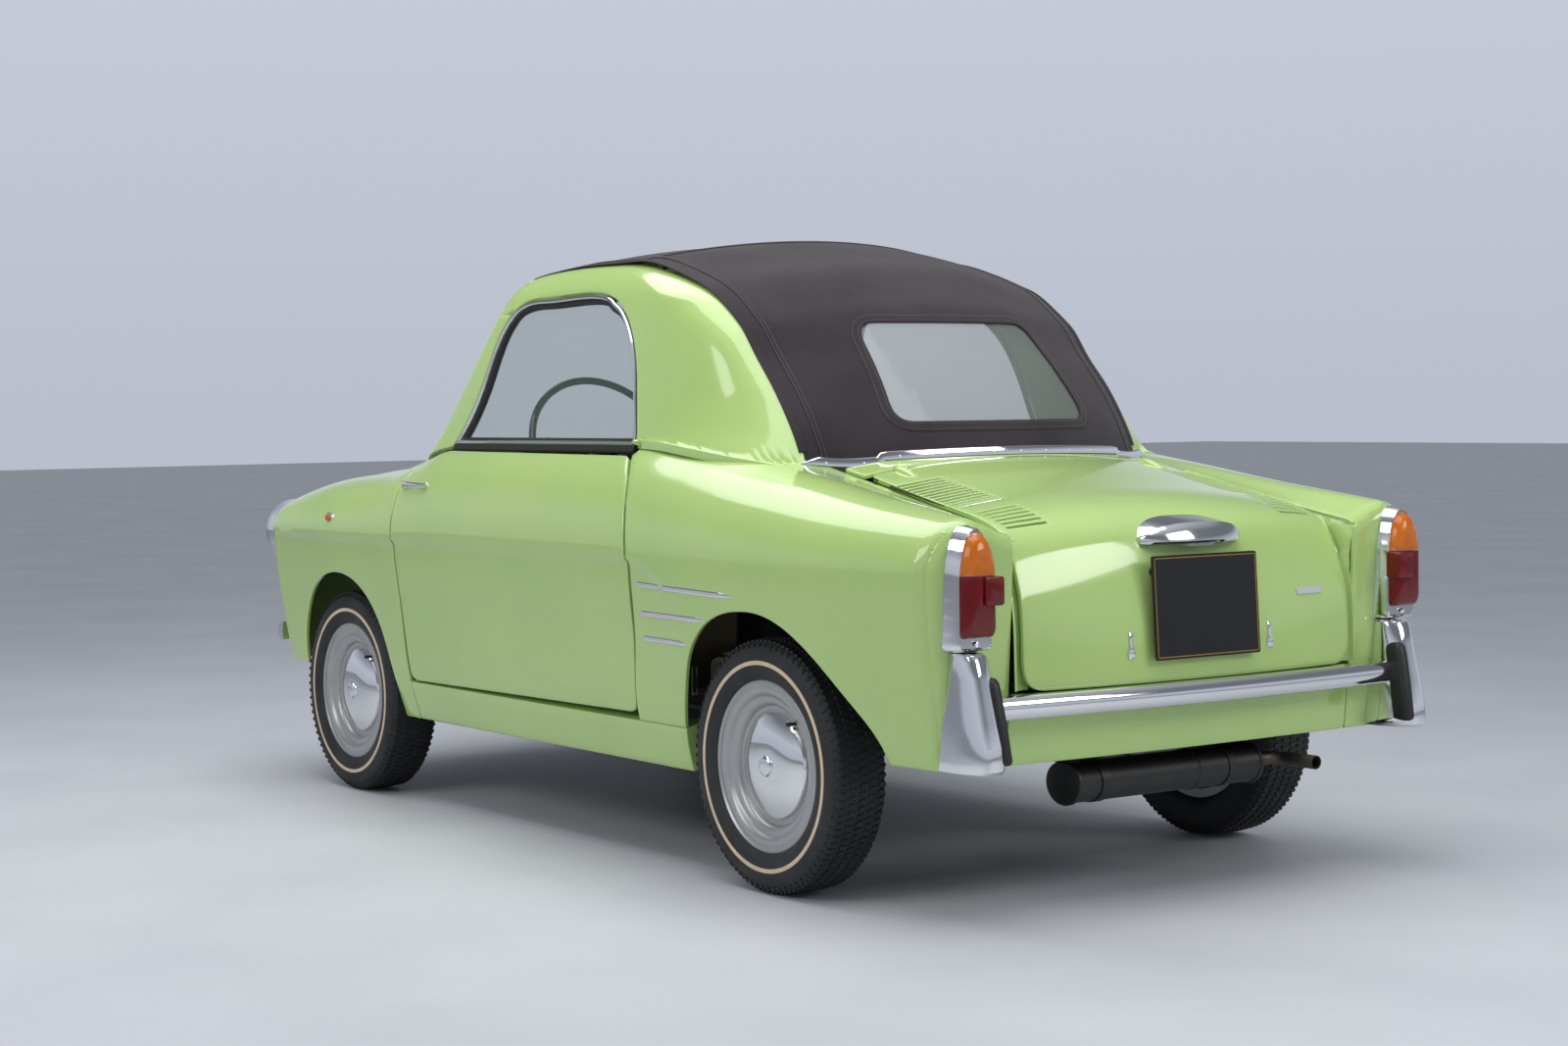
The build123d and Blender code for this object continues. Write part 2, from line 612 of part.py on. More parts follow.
# floor, toe board, seat pan and parcel shelf are one folded sheet, seen from the side
FLOOR_SIDE = [(-664, 760), (-664, 470), (-590, 400), (-560, FLOOR_HEIGHT), (180, FLOOR_HEIGHT), (330, 330), (560, 330),
              (640, 470), (660, 800)]
with BuildPart() as floor_pan:
    with BuildSketch(Plane.XZ.offset(-530)):
        with BuildLine():
            Polyline(*FLOOR_SIDE)
            offset(amount=7, side=Side.RIGHT, closed=True)
        make_face()
    extrude(amount=1060)
    for cutter in arches:
        add(cutter, mode=Mode.SUBTRACT)

INNER_SIDE = 462              # upright walls between the engine bay and the rear wheels
with BuildPart() as rear_inner_sides:
    with BuildSketch(Plane.XY.offset(310)):
        with Locations((1010, INNER_SIDE - 4)):
            Rectangle(640, 8)
    extrude(amount=600)
    add(inner_blank, mode=Mode.INTERSECT)
    mirror(about=Plane.XZ)
with BuildPart() as floor_and_sides:
    add(floor_pan.part)
    add(rear_inner_sides.part)
finish(floor_and_sides, "floor_pan")

DASH_SIDE = [(-640, 700), (-560, 690), (-532, 720), (-535, 800), (-580, 822), (-655, 810)]
COLUMN_TILT = 27
WHEEL_CENTRE = (-257, -290, 845)
with BuildPart() as dashboard:
    with BuildSketch(Plane.XZ.offset(-500)):
        with BuildLine():
            Polyline(*DASH_SIDE, close=True)
        make_face()
    extrude(amount=1000)
    with BuildSketch(Plane.YZ.offset(-600)) as hood:
        with Locations((WHEEL_CENTRE[1], 800)):
            Ellipse(160, 78)
    extrude(amount=130)

column_plane = Plane(origin=WHEEL_CENTRE, x_dir=(0, 1, 0), z_dir=(cos(radians(COLUMN_TILT)), 0, sin(radians(COLUMN_TILT))))
with BuildPart(mode=Mode.PRIVATE) as steering_column:
    with BuildSketch(column_plane.offset(-45)):
        Circle(24)
    extrude(amount=-230)
    with BuildSketch(column_plane.offset(-45)):
        Circle(9)
    extrude(amount=34.5)
with BuildPart() as dash_and_column:
    add(dashboard.part)
    add(steering_column.part)
finish(dash_and_column, "dashboard")

with BuildPart() as steering_wheel:
    with BuildSketch(Plane(origin=WHEEL_CENTRE, x_dir=(-sin(radians(COLUMN_TILT)), 0, cos(radians(COLUMN_TILT))),
                           z_dir=(0, 1, 0))) as rim_section:
        with Locations((STEERING_WHEEL_RADIUS, 0)):
            Circle(10)
    revolve(axis=Axis(WHEEL_CENTRE, (cos(radians(COLUMN_TILT)), 0, sin(radians(COLUMN_TILT)))))
    with BuildSketch(column_plane.offset(-10)):
        Circle(32)
    extrude(amount=22)
    with BuildSketch(column_plane.offset(-5)):
        Rectangle(2 * STEERING_WHEEL_RADIUS, 22)
    extrude(amount=7)
finish(steering_wheel, "steering_wheel")

# seats, plain soft blocks
SEAT_HALF = 215
with BuildPart() as front_seats:
    for side in (-1, 1):
        with BuildSketch(Plane.XZ.offset(-side * 262 - SEAT_HALF)):
            with BuildLine():
                Polyline((-250, 358), (-250, 440), (120, 400), (190, 800), (265, 800), (190, 400), (150, 358), close=True)
            make_face()
        extrude(amount=2 * SEAT_HALF)
        # tubular runners, drawn as plain bars down to the floor
        leg = 358 - FLOOR_HEIGHT - SEAT_GAP
        with Locations((-50, side * 262 - 170, 358 - leg / 2), (-50, side * 262 + 170, 358 - leg / 2)):
            Box(300, 20, leg)
finish(front_seats, "front_seats")
with BuildPart() as rear_bench:
    with BuildSketch(Plane.XZ.offset(-430)):
        with BuildLine():
            Polyline((335, 330.3), (335, 430), (540, 430), (575, 760), (632, 760), (620, 475), (556, 330.3), close=True)
        make_face()
    extrude(amount=860)
finish(rear_bench, "rear_bench")

# ---------------------------------------------------------------- running gear
with BuildPart() as engine_block:
    with Locations((1110, 0, 400)):
        Box(280, 380, 300)
    with Locations((880, 0, 350)):
        Box(200, 260, 180)
finish(engine_block, "engine_block")

# wheels: tyre, rim and hubcap, turned about the axle
RIM_HALF = 50
BEAD_RADIUS = 152
BORE_RADIUS = 14
STUB_RADIUS = BORE_RADIUS - 0.05
TYRE_GAP = 0.3


def wheel_plane(x, y):
    """Plane through the axle line whose X runs out of the car along it and whose Y is the wheel's radius."""
    outward = 1 if y > 0 else -1
    return Plane(origin=(x, y, TYRE_RADIUS), x_dir=(0, outward, 0), z_dir=(outward, 0, 0))


def turned(x, y, outline):
    """Solid of revolution about an axle, from (outwards, radius) points."""
    with BuildPart() as body:
        with BuildSketch(wheel_plane(x, y)):
            with BuildLine():
                Polyline(*outline, close=True)
            make_face()
        revolve(axis=Axis((x, y, TYRE_RADIUS), (0, 1, 0)))
    return body


half = TYRE_WIDTH / 2
TYRE_OUTLINE = [(-RIM_HALF + 6.5, BEAD_RADIUS + 1.4), (-RIM_HALF + 3.4, FLANGE_RADIUS - 0.6), (-RIM_HALF - 6, FLANGE_RADIUS + 4),
                (-half, 208), (-half + 6, 232), (-half + 17, TYRE_RADIUS - 4), (-half + 26, TYRE_RADIUS),
                (half - 26, TYRE_RADIUS), (half - 17, TYRE_RADIUS - 4), (half - 6, 232), (half, 208),
                (RIM_HALF + 6, FLANGE_RADIUS + 4), (RIM_HALF - 3.4, FLANGE_RADIUS - 0.6), (RIM_HALF - 6.5, BEAD_RADIUS + 1.4)]
RIM_OUTLINE = [(-RIM_HALF, FLANGE_RADIUS - 1), (-RIM_HALF, BEAD_RADIUS - 4), (-16, BEAD_RADIUS - 20), (20, BEAD_RADIUS - 20),
               (24, 128), (8, 112), (12, 92), (20, 60), (10, 46), (10, BORE_RADIUS), (22, BORE_RADIUS), (30, 60),
               (22, 96), (22, 112), (36, 130), (40, BEAD_RADIUS - 6), (RIM_HALF, BEAD_RADIUS - 4), (RIM_HALF, FLANGE_RADIUS - 1),
               (RIM_HALF - 3, FLANGE_RADIUS - 1), (RIM_HALF - 6, BEAD_RADIUS + 1), (-RIM_HALF + 6, BEAD_RADIUS + 1),
               (-RIM_HALF + 3, FLANGE_RADIUS - 1)]
HUBCAP_OUTLINE = [(22.3, HUBCAP_RADIUS), (28, HUBCAP_RADIUS - 2), (38, 84), (46, 56), (50, 24), (56, 18), (56, 0), (46, 0),
                  (42, 52), (33, 84), (24, 98)]
WHEELS = {"front_left": (FRONT_AXLE, -FRONT_TRACK / 2), "front_right": (FRONT_AXLE, FRONT_TRACK / 2),
          "rear_left": (REAR_AXLE, -REAR_TRACK / 2), "rear_right": (REAR_AXLE, REAR_TRACK / 2)}
for corner, (x, y) in WHEELS.items():
    finish(turned(x, y, TYRE_OUTLINE), f"tyre_{corner}")
    with BuildPart() as rim_and_cap:
        add(turned(x, y, RIM_OUTLINE).part)
        add(turned(x, y, HUBCAP_OUTLINE).part)
    finish(rim_and_cap, f"rim_{corner}")

# knuckles: brake drum, stub axle and kingpin post of each steered wheel
KNUCKLE_OUTLINE = [(-58, 0), (-58, 88), (-52, 92), (-8, 92), (-8, 46), (9.7, 46), (9.7, STUB_RADIUS), (26, STUB_RADIUS), (26, 0)]
with BuildPart() as knuckle_right:
    add(turned(FRONT_AXLE, FRONT_TRACK / 2, KNUCKLE_OUTLINE).part)
    with BuildSketch(Plane.XY.offset(150)):
        with Locations((FRONT_AXLE, KINGPIN_HALF_TRACK - 12)):
            Circle(14)
    extrude(amount=210)
finish_pair(knuckle_right, "knuckle")

# front cross spring and its upper links
with BuildPart() as front_spring:
    with BuildSketch(Plane.YZ.offset(FRONT_AXLE - 25)):
        with BuildLine():
            ThreePointArc((-468, 185), (0, 215), (468, 185))
            offset(amount=9, side=Side.LEFT, closed=True)
        make_face()
    extrude(amount=50)
    with Locations((FRONT_AXLE, 0, 262)):
        Box(120, 240, 76)
finish(front_spring, "front_spring")

# trailing arms and fixed brake drums of the rear wheels
DRUM_OUTLINE = [(-62, 0), (-62, 88), (-56, 92), (-8, 92), (-8, 46), (9.7, 46), (9.7, STUB_RADIUS), (26, STUB_RADIUS), (26, 0)]
with BuildPart() as rear_axle:
    add(turned(REAR_AXLE, REAR_TRACK / 2, DRUM_OUTLINE).part)
    with BuildSketch(Plane.XY.offset(235)):
        with BuildLine():
            Polyline((REAR_AXLE - 60, 500), (REAR_AXLE + 60, 500), (REAR_AXLE + 40, 420), (560, 120), (520, 180), close=True)
        make_face()
    extrude(amount=50)
    with BuildSketch(Plane.XZ.offset(-420)):
        with Locations((REAR_AXLE + 10, 275)):
            Circle(45)
    extrude(amount=-20)
    # half shaft from the gearbox
    with BuildSketch(Plane.XZ.offset(-490)):
        with Locations((REAR_AXLE, TYRE_RADIUS + 30)):
            Circle(14)
    extrude(amount=490 - 130 - SEAT_GAP)
    mirror(about=Plane.XZ)
finish(rear_axle, "rear_axle")

with BuildPart() as exhaust:
    with BuildSketch(Plane.XZ.offset(250)) as silencer_end:
        with Locations((1322, 232)):
            Ellipse(50, 42)
    extrude(amount=-480)
    with BuildSketch(Plane.YZ.offset(1300)):
        with Locations((310, 235)):
            Circle(14)
    extrude(amount=135)
    with Locations((1310, 290, 235)):
        Box(30, 130, 34)
    # hanger under the engine
    with Locations((1262, 0, 243)):
        Box(70, 60, 13.4)
finish(exhaust, "exhaust")

# ---------------------------------------------------------------- lamps, bumpers and trim
LAMP_Y = 551
with BuildPart() as tail_lamp_bezels:
    with BuildSketch(Plane.YZ.offset(1370)):
        with Locations((LAMP_Y, 619)):
            SlotOverall(228, 90, rotation=90)
    extrude(amount=46)
    add(plan_clear, mode=Mode.SUBTRACT)
    mirror(about=Plane.XZ)
finish(tail_lamp_bezels, "tail_lamp_bezels")
LENS_SPLIT = 645
with BuildPart() as lamp_domes:
    with BuildSketch(Plane.YZ.offset(1416.3)):
        with Locations((LAMP_Y, 625)):
            SlotOverall(180, 78, rotation=90)
    extrude(amount=42, taper=14)
    fillet(lamp_domes.faces().sort_by(Axis.X)[-1].edges(), 10)
with BuildPart() as tail_lamp_amber:
    add(lamp_domes.part)
    add(slab(1300, 1600, 400, 700, LENS_SPLIT + SEAT_GAP, 800), mode=Mode.INTERSECT)
    mirror(about=Plane.XZ)
finish(tail_lamp_amber, "tail_lamp_amber")
with BuildPart() as tail_lamp_red:
    add(lamp_domes.part)
    add(slab(1300, 1600, 400, 700, 400, LENS_SPLIT), mode=Mode.INTERSECT)
    with Locations((1452, LAMP_Y - 22, 617)):
        Box(34, 36, 52)
    mirror(about=Plane.XZ)
finish(tail_lamp_red, "tail_lamp_red")

BUMPER_HEIGHT = 401
with BuildPart() as rear_bumper:
    with BuildSketch(Plane.XY.offset(BUMPER_HEIGHT - 22.5)):
        with BuildLine():
            ThreePointArc((1438, -512), (1464, 0), (1438, 512))
            offset(amount=12, side=Side.RIGHT, closed=True)
        make_face()
    extrude(amount=45)
    for side in (-1, 1):
        with BuildSketch(Plane.XY.offset(296)):
            with BuildLine():
                Polyline((1380, side * 492), (1500, side * 505), (1510, side * 548), (1498, side * 600), (1380, side * 612), close=True)
            make_face()
        with BuildSketch(Plane.XY.offset(502)):
            with BuildLine():
                Polyline((1380, side * 510), (1440, side * 515), (1448, side * 548), (1440, side * 588), (1380, side * 592), close=True)
            make_face()
        loft()
    with Locations((1415, 330, BUMPER_HEIGHT), (1415, -330, BUMPER_HEIGHT)):
        Box(80, 30, 30)
    add(plan_clear, mode=Mode.SUBTRACT)
    add(lid_clear, mode=Mode.SUBTRACT)
finish(rear_bumper, "rear_bumper")

with BuildPart() as front_bumper:
    with BuildSketch(Plane.XY.offset(345)):
        with BuildLine():
            ThreePointArc((-1440, -600), (-1510, 0), (-1440, 600))
            offset(amount=12, side=Side.RIGHT, closed=True)
        make_face()
    extrude(amount=50)
    with Locations((-1450, 330, 370), (-1450, -330, 370)):
        Box(80, 30, 30)
    add(plan_clear, mode=Mode.SUBTRACT)
finish(front_bumper, "front_bumper")

HEADLAMP = (-1430, 525, 632)
with BuildPart() as headlamps:
    with BuildSketch(Plane.YZ.offset(HEADLAMP[0])):
        with Locations((HEADLAMP[1], HEADLAMP[2])):
            Circle(86)
    extrude(amount=-66, taper=8)
    add(plan_clear, mode=Mode.SUBTRACT)
    mirror(about=Plane.XZ)
finish(headlamps, "headlamps")

with BuildPart() as plate_lamp:
    with BuildSketch(Plane.XY.offset(678)):
        with BuildLine():
            ThreePointArc((1380, -125), (1458, 0), (1380, 125))
            Line((1380, 125), (1380, -125))
        make_face()
    extrude(amount=50, taper=12)
    add(lid_clear, mode=Mode.SUBTRACT)
finish(plate_lamp, "plate_lamp")

with BuildPart() as roof_trim:
    with BuildSketch(Plane.XY.offset(800)) as trim_view:
        with BuildLine():
            ThreePointArc((775, -466), (904, 0), (775, 466))
            offset(amount=12, side=Side.RIGHT, closed=True)
        make_face()
    extrude(amount=57)
    add(body_top.part, mode=Mode.SUBTRACT)
    add(lid_clear, mode=Mode.SUBTRACT)
finish(roof_trim, "roof_trim")
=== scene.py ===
"""Looks of a small car with a folding fabric roof and a rear engine."""

import math

import bmesh
import bpy
import numpy as np
from mathutils import Matrix, Vector
from mathutils.geometry import delaunay_2d_cdt


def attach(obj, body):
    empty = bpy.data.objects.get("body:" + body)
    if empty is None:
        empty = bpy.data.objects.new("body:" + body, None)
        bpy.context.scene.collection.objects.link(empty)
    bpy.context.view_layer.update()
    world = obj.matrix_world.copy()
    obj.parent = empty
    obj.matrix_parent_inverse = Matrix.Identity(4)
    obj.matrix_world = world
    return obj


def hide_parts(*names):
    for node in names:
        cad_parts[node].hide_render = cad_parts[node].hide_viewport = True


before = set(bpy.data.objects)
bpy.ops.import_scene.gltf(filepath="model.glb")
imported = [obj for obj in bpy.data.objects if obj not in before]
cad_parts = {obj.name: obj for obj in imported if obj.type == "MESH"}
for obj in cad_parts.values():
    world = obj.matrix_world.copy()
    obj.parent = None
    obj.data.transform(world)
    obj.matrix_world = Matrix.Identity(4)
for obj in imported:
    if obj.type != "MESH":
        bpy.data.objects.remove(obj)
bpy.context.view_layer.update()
MM = 0.001

# -------- body lines, in millimetres as in the part's source
SHUT_GAP = 6
SIDE_INSET = [(205, 74), (300, 48), (400, 28), (520, 10), (640, 0)]
CREASE_HEIGHT = 640
CREASE_HALF = [(-1500, 640), (-1300, 655), (-1000, 668), (-600, 670), (700, 670), (1000, 664), (1300, 640),
    (1480, 615)]
RIDGE_HEIGHT = [(-1500, 672), (-1433, 702), (-1309, 744), (-1127, 777), (-800, 806), (-640, 838), (-480, 876),
                (-200, 886), (343, 880), (570, 857), (853, 820), (1143, 777), (1363, 748), (1480, 730)]
RIDGE_HALF = [(-1500, 500), (-800, 500), (-400, 515), (343, 515), (700, 500), (1000, 505), (1430, 535)]
TOP_HEIGHT = [(-1500, 690), (-1440, 716), (-1370, 745), (-1240, 777), (-1060, 806), (-800, 838), (-640, 862),
              (-300, 890), (400, 890), (780, 860), (908, 845), (1203, 784), (1340, 752), (1480, 720)]
DECK_SIDE = [(-1500, 680), (-1433, 709), (-1309, 752), (-1127, 787), (-800, 820), (-600, 855), (-300, 888),
    (400, 886), (700, 850), (853, 817), (908, 806), (1203, 748), (1340, 718), (1480, 690)]
SHOULDER_POWER = 2.1
NOSE = [(190, -1400), (330, -1440), (480, -1468), (600, -1480), (700, -1474), (900, -1440)]
TAIL = [(190, 1385), (300, 1400), (480, 1415), (720, 1428), (900, 1432)]
CABIN_HALF_WIDTH = [(780, 588), (830, 586), (860, 579), (900, 566), (1000, 546), (1080, 531),
                    (1150, 516), (1200, 500), (1240, 476), (1270, 448), (1300, 410), (1340, 360)]
WINDSCREEN = [(780, -815), (840, -777), (1000, -655), (1180, -512), (1243, -455), (1340, -360)]
WINDSCREEN_BOW = [(780, 125), (840, 122), (1180, 88), (1340, 70)]
PILLAR_LENGTH = [(780, 95), (1340, 110)]
PILLAR_WIDTH = [(780, 65), (1340, 70)]
FABRIC_EDGE = [(780, 850), (830, 812), (900, 740), (1000, 655), (1100, 570), (1180, 463), (1230, 340),
               (1270, 200), (1340, 120)]
FABRIC_HALF_WIDTH = 444
QUARTER_START = 300
ROOF_LINE = [(-860, 1120), (-620, 1222), (-520, 1262), (-407, 1292), (-250, 1311), (-50, 1320), (176, 1320),
    (463, 1262), (636, 1171), (705, 1101), (782, 1028), (860, 930), (915, 820), (960, 700)]
ROOF_DROP, ROOF_DROP_AT = 50, 440
ROOF_CURVE, ROOF_CURVE_AT, ROOF_CURVE_FROM = 0.166, 466, 3
HEADER_END = -300
LID_MIDDLE = [(850, 857), (908, 845), (1203, 784), (1340, 748), (1395, 705), (1414, 655), (1440, 500),
    (1442, 410)]
LID_SIDE = [(850, 822), (908, 810), (1203, 750), (1318, 722), (1362, 690), (1388, 640), (1413, 513),
    (1415, 410)]
LID_SIDE_AT = 430
LID_FRONT = 925
LID_BOTTOM = 425
LID_HALF_WIDTH_TOP = 400
LID_HALF_WIDTH_BOTTOM = 430
OVERHANG_HEIGHT = 300
REAR_OVERHANG_HEIGHT = 288
BONNET_FRONT = -1405
BONNET_REAR = -850
BONNET_HALF_FRONT = 330
BONNET_HALF_REAR = 430
DOOR_FRONT = -630
DOOR_TOP_REAR = 345
DOOR_MIDDLE = (-100, 600)
DOOR_OUTLINE = [(-622, 300), (413, 312), (436, 470), (443, 640), (428, 735), (393, 810), (349, 853),
                (-478, 858), (-560, 846), (-640, 818), (-634, 640)]
WINDOW_OUTLINE = [(-478, 866), (-397, 990), (-347, 1112), (-280, 1184), (-147, 1203), (33, 1206), (160, 1182),
                  (240, 1120), (285, 1040), (320, 925), (340, 866)]
WINDOW_MIDDLE = (-60, 1000)
WHEEL_ARCH_REAR = [(575, 150), (581, 268), (613, 381), (651, 458), (716, 517), (786, 544), (847, 552),
    (913, 549), (1028, 503), (1150, 403), (1226, 320), (1250, 150)]
WHEEL_ARCH_FRONT = [(-1236, 150), (-1230, 268), (-1198, 400), (-1112, 505), (-967, 548), (-824, 505),
    (-740, 400), (-708, 268), (-700, 150)]
SILL_HEIGHT = 298
TYRE_RADIUS = 250
WHEELS = {"front_left": (-967, -560.5), "front_right": (-967, 560.5),
          "rear_left": (873, -567.5), "rear_right": (873, 567.5)}


def along(table, t):
    """Values at t, one number or many, of the monotone cubic through a table."""
    ts = np.array([pair[0] for pair in table], float)
    vs = np.array([pair[1] for pair in table], float)
    slopes = np.diff(vs) / np.diff(ts)
    inner = np.where(slopes[:-1] * slopes[1:] <= 0, 0.0,
        2 * slopes[:-1] * slopes[1:] / np.where(slopes[:-1] + slopes[1:] == 0, 1, slopes[:-1] + slopes[1:]))
    tangents = np.concatenate([slopes[:1], inner, slopes[-1:]])
    t = np.clip(np.asarray(t, float), ts[0], ts[-1])
    i = np.clip(np.searchsorted(ts, t, side="right") - 1, 0, len(ts) - 2)
    span = ts[i + 1] - ts[i]
    s = (t - ts[i]) / span
    return ((2 * s**3 - 3 * s**2 + 1) * vs[i] + (s**3 - 2 * s**2 + s) * span * tangents[i]
            + (-2 * s**3 + 3 * s**2) * vs[i + 1] + (s**3 - s**2) * span * tangents[i + 1])


def spline_weights(steps, at):
    """Matrix that turns values at the steps into values of their natural cubic spline at other places."""
    steps = np.asarray(steps, float)
    n = len(steps)
    h = np.diff(steps)
    a = np.eye(n)
    b = np.zeros((n, n))
    for i in range(1, n - 1):
        a[i, i - 1:i + 2] = h[i - 1] / 6, (h[i - 1] + h[i]) / 3, h[i] / 6
        b[i, i - 1:i + 2] = 1 / h[i - 1], -1 / h[i - 1] - 1 / h[i], 1 / h[i]
    second = np.linalg.solve(a, b)
    at = np.asarray(at, float)
    i = np.clip(np.searchsorted(steps, at, side="right") - 1, 0, n - 2)
    q = (at - steps[i]) / h[i]
    p = 1 - q
    rows = np.zeros((len(at), n))
    rows[np.arange(len(at)), i] += p
    rows[np.arange(len(at)), i + 1] += q
    bend_p, bend_q = (p**3 - p) * h[i]**2 / 6, (q**3 - q) * h[i]**2 / 6
    rows += bend_p[:, None] * second[i] + bend_q[:, None] * second[i + 1]
    return rows


def run_along(line):
    """Length travelled along a polyline at each of its points."""
    return np.concatenate([[0], np.cumsum(np.linalg.norm(np.diff(line, axis=0), axis=1))])


def unit(vectors):
    """The same directions, each one long."""
    return vectors / np.maximum(np.linalg.norm(vectors, axis=-1, keepdims=True), 1e-9)


def whole_turn(count):
    """Angles evenly spread round a circle."""
    return np.linspace(0, 2 * math.pi, count, endpoint=False)


def box(left, low, right, high):
    """The four corners of an upright rectangle."""
    return [(left, low), (right, low), (right, high), (left, high)]


def arc_radius(half_width, sag):
    """Radius of an arc this wide to each side, whose ends fall back by the sag."""
    return (half_width ** 2 + sag ** 2) / (2 * sag)


def smooth_line(points, count, closed=False):
    """Points evenly spread along the smooth curve through a few given ones."""
    points = np.asarray(points, float)
    if closed:
        points = np.concatenate([points[-3:], points, points[:4]])
    steps = run_along(points)
    low, high = (steps[3], steps[-4]) if closed else (steps[0], steps[-1])
    dense = spline_weights(steps, np.linspace(low, high, 40 * len(points))) @ points
    return resampled(dense, count, closed)


def resampled(line, count, closed=False):
    """The same polyline with evenly spaced points."""
    line = np.asarray(line, float)
    if closed and np.linalg.norm(line[0] - line[-1]) > 1e-6:
        line = np.concatenate([line, line[:1]])
    run = run_along(line)
    at = np.linspace(0, run[-1], count + 1)[:-1] if closed else np.linspace(0, run[-1], count)
    return np.stack([np.interp(at, run, line[:, k]) for k in range(line.shape[1])], 1)


def spaced(line, step, closed=False):
    """The same polyline with points about a step apart."""
    line = np.asarray(line, float)
    ends = np.concatenate([line, line[:1]]) if closed else line
    length = np.linalg.norm(np.diff(ends, axis=0), axis=1).sum()
    return resampled(line, max(4, int(round(length / step))) + (0 if closed else 1), closed)


def rounded(points, radius, step=7.0):
    """Closed outline with its corners rounded, as close points."""
    points = np.asarray(points, float)
    n = len(points)
    out = []
    for i in range(n):
        here, before, after = points[i], points[i - 1], points[(i + 1) % n]
        a, b = before - here, after - here
        la, lb = np.linalg.norm(a), np.linalg.norm(b)
        r = radius[i] if hasattr(radius, "__len__") else radius
        cut = min(r, la * 0.45, lb * 0.45)
        p, q = here + a / la * cut, here + b / lb * cut
        out += [(1 - t)**2 * p + 2 * t * (1 - t) * here + t**2 * q for t in np.linspace(0, 1, 7)]
    return spaced(np.array(out), step, closed=True)


class Sheet:
    """Surface kept as a regular table of points and read back with smooth interpolation."""

    def __init__(self, us, vs, table):
        self.us, self.vs, self.table = us, vs, table

    def __call__(self, p):
        p = np.atleast_2d(p)
        out = 0
        fu = np.clip((p[:, 0] - self.us[0]) / (self.us[1] - self.us[0]), 0, len(self.us) - 1.000001)
        fv = np.clip((p[:, 1] - self.vs[0]) / (self.vs[1] - self.vs[0]), 0, len(self.vs) - 1.000001)
        iu, iv = fu.astype(int), fv.astype(int)
        wu, wv = self.weights(fu - iu), self.weights(fv - iv)
        for a in range(4):
            for b in range(4):
                ka = np.clip(iu + a - 1, 0, len(self.us) - 1)
                kb = np.clip(iv + b - 1, 0, len(self.vs) - 1)
                out = out + (wu[a] * wv[b])[:, None] * self.table[ka, kb]
        return out

    @staticmethod
    def weights(t):
        return [(-t**3 + 2 * t**2 - t) / 2, (3 * t**3 - 5 * t**2 + 2) / 2, (-3 * t**3 + 4 * t**2 + t) / 2,
            (t**3 - t**2) / 2]


def normals_on(sheet, params, flip=True, eps=1.0):
    """Unit normals of a sheet, measured over eps mm to each side."""
    du = sheet(params + [eps, 0]) - sheet(params - [eps, 0])
    dv = sheet(params + [0, eps]) - sheet(params - [0, eps])
    return unit(np.cross(du, dv)) * (-1 if flip else 1)


# -------- body surface: across (0 at the sill, GIRTH at the middle) by length
GIRTH = 1130.0


def body_section(x):
    half = along(CREASE_HALF, x)
    points = [(half - along(SIDE_INSET, z), z) for z in (205, 300, 400, 520)]
    ridge = along(RIDGE_HEIGHT, x)
    ridge_half = along(RIDGE_HALF, x)
    for k in range(6):
        turn = k / 5.5 * math.pi / 2
        points.append((ridge_half + (half - ridge_half) * math.cos(turn) ** (2 / SHOULDER_POWER),
                       CREASE_HEIGHT + (ridge - CREASE_HEIGHT) * math.sin(turn) ** (2 / SHOULDER_POWER)))
    points.append((ridge_half, ridge))
    side = along(DECK_SIDE, x)
    top = along(TOP_HEIGHT, x)
    points.append((455, side + (ridge - side) * 0.25))
    points += [(y, top + (side - top) * (y / 400) ** 2) for y in (390, 270, 140, 0)]
    return np.array(points, float)


def mirrored(half):
    return np.concatenate([half, half[-2::-1] * [-1, 1]])


typical = mirrored(body_section(100))
typical_run = run_along(typical)
body_rows = spline_weights(typical_run / typical_run[-1], np.linspace(0, 0.5, 227))
body_xs = np.arange(-1500, 1491, 5.0)
body_us = np.linspace(0, GIRTH, 227)
body_table = np.zeros((len(body_xs), len(body_us), 3))
for k, x in enumerate(body_xs):
    body_table[k, :, 0] = x
    body_table[k, :, 1:] = body_rows @ mirrored(body_section(x))


def soft_step(t):
    t = np.clip(t, 0, 1)
    return t * t * (3 - 2 * t)


# pressed line along the side: the panel below it is drawn in a few millimetres
crease_line = np.interp(body_xs, [-1500, -1380, 420, 500, 560, 640, 1500], [632, 640, 642, 632, 600, 545, 540])
crease_depth = np.interp(body_xs, [-1500, -1400, -1300, 420, 520, 640, 1500], [0, 0, 9, 9, 7, 0, 0])
below = crease_line[:, None] - body_table[:, :, 2]
body_table[:, :, 1] -= crease_depth[:, None] * soft_step(below / 9) * soft_step((260 - below) / 200 + 0.4)
body = Sheet(body_xs, body_us, body_table)


def section_points(x):
    """Points of the body's section nearest to this length."""
    return body_table[int(np.clip(round((x - body_xs[0]) / 5), 0, len(body_xs) - 1))]


def girth_at_height(x, z):
    """Place on the side of the section at x where it has this height."""
    row = section_points(x)
    top = int(np.argmax(row[:, 2] > along(RIDGE_HEIGHT, x) - 3)) or len(row) - 1
    return float(np.interp(z, row[:top, 2], body_us[:top]))


def girth_at_width(x, y):
    """Place on the top of the section at x where it is this far from the middle."""
    row = section_points(x)
    start = int(np.argmax(row[:, 1]))
    return float(np.interp(y, row[start:, 1][::-1], body_us[start:][::-1]))


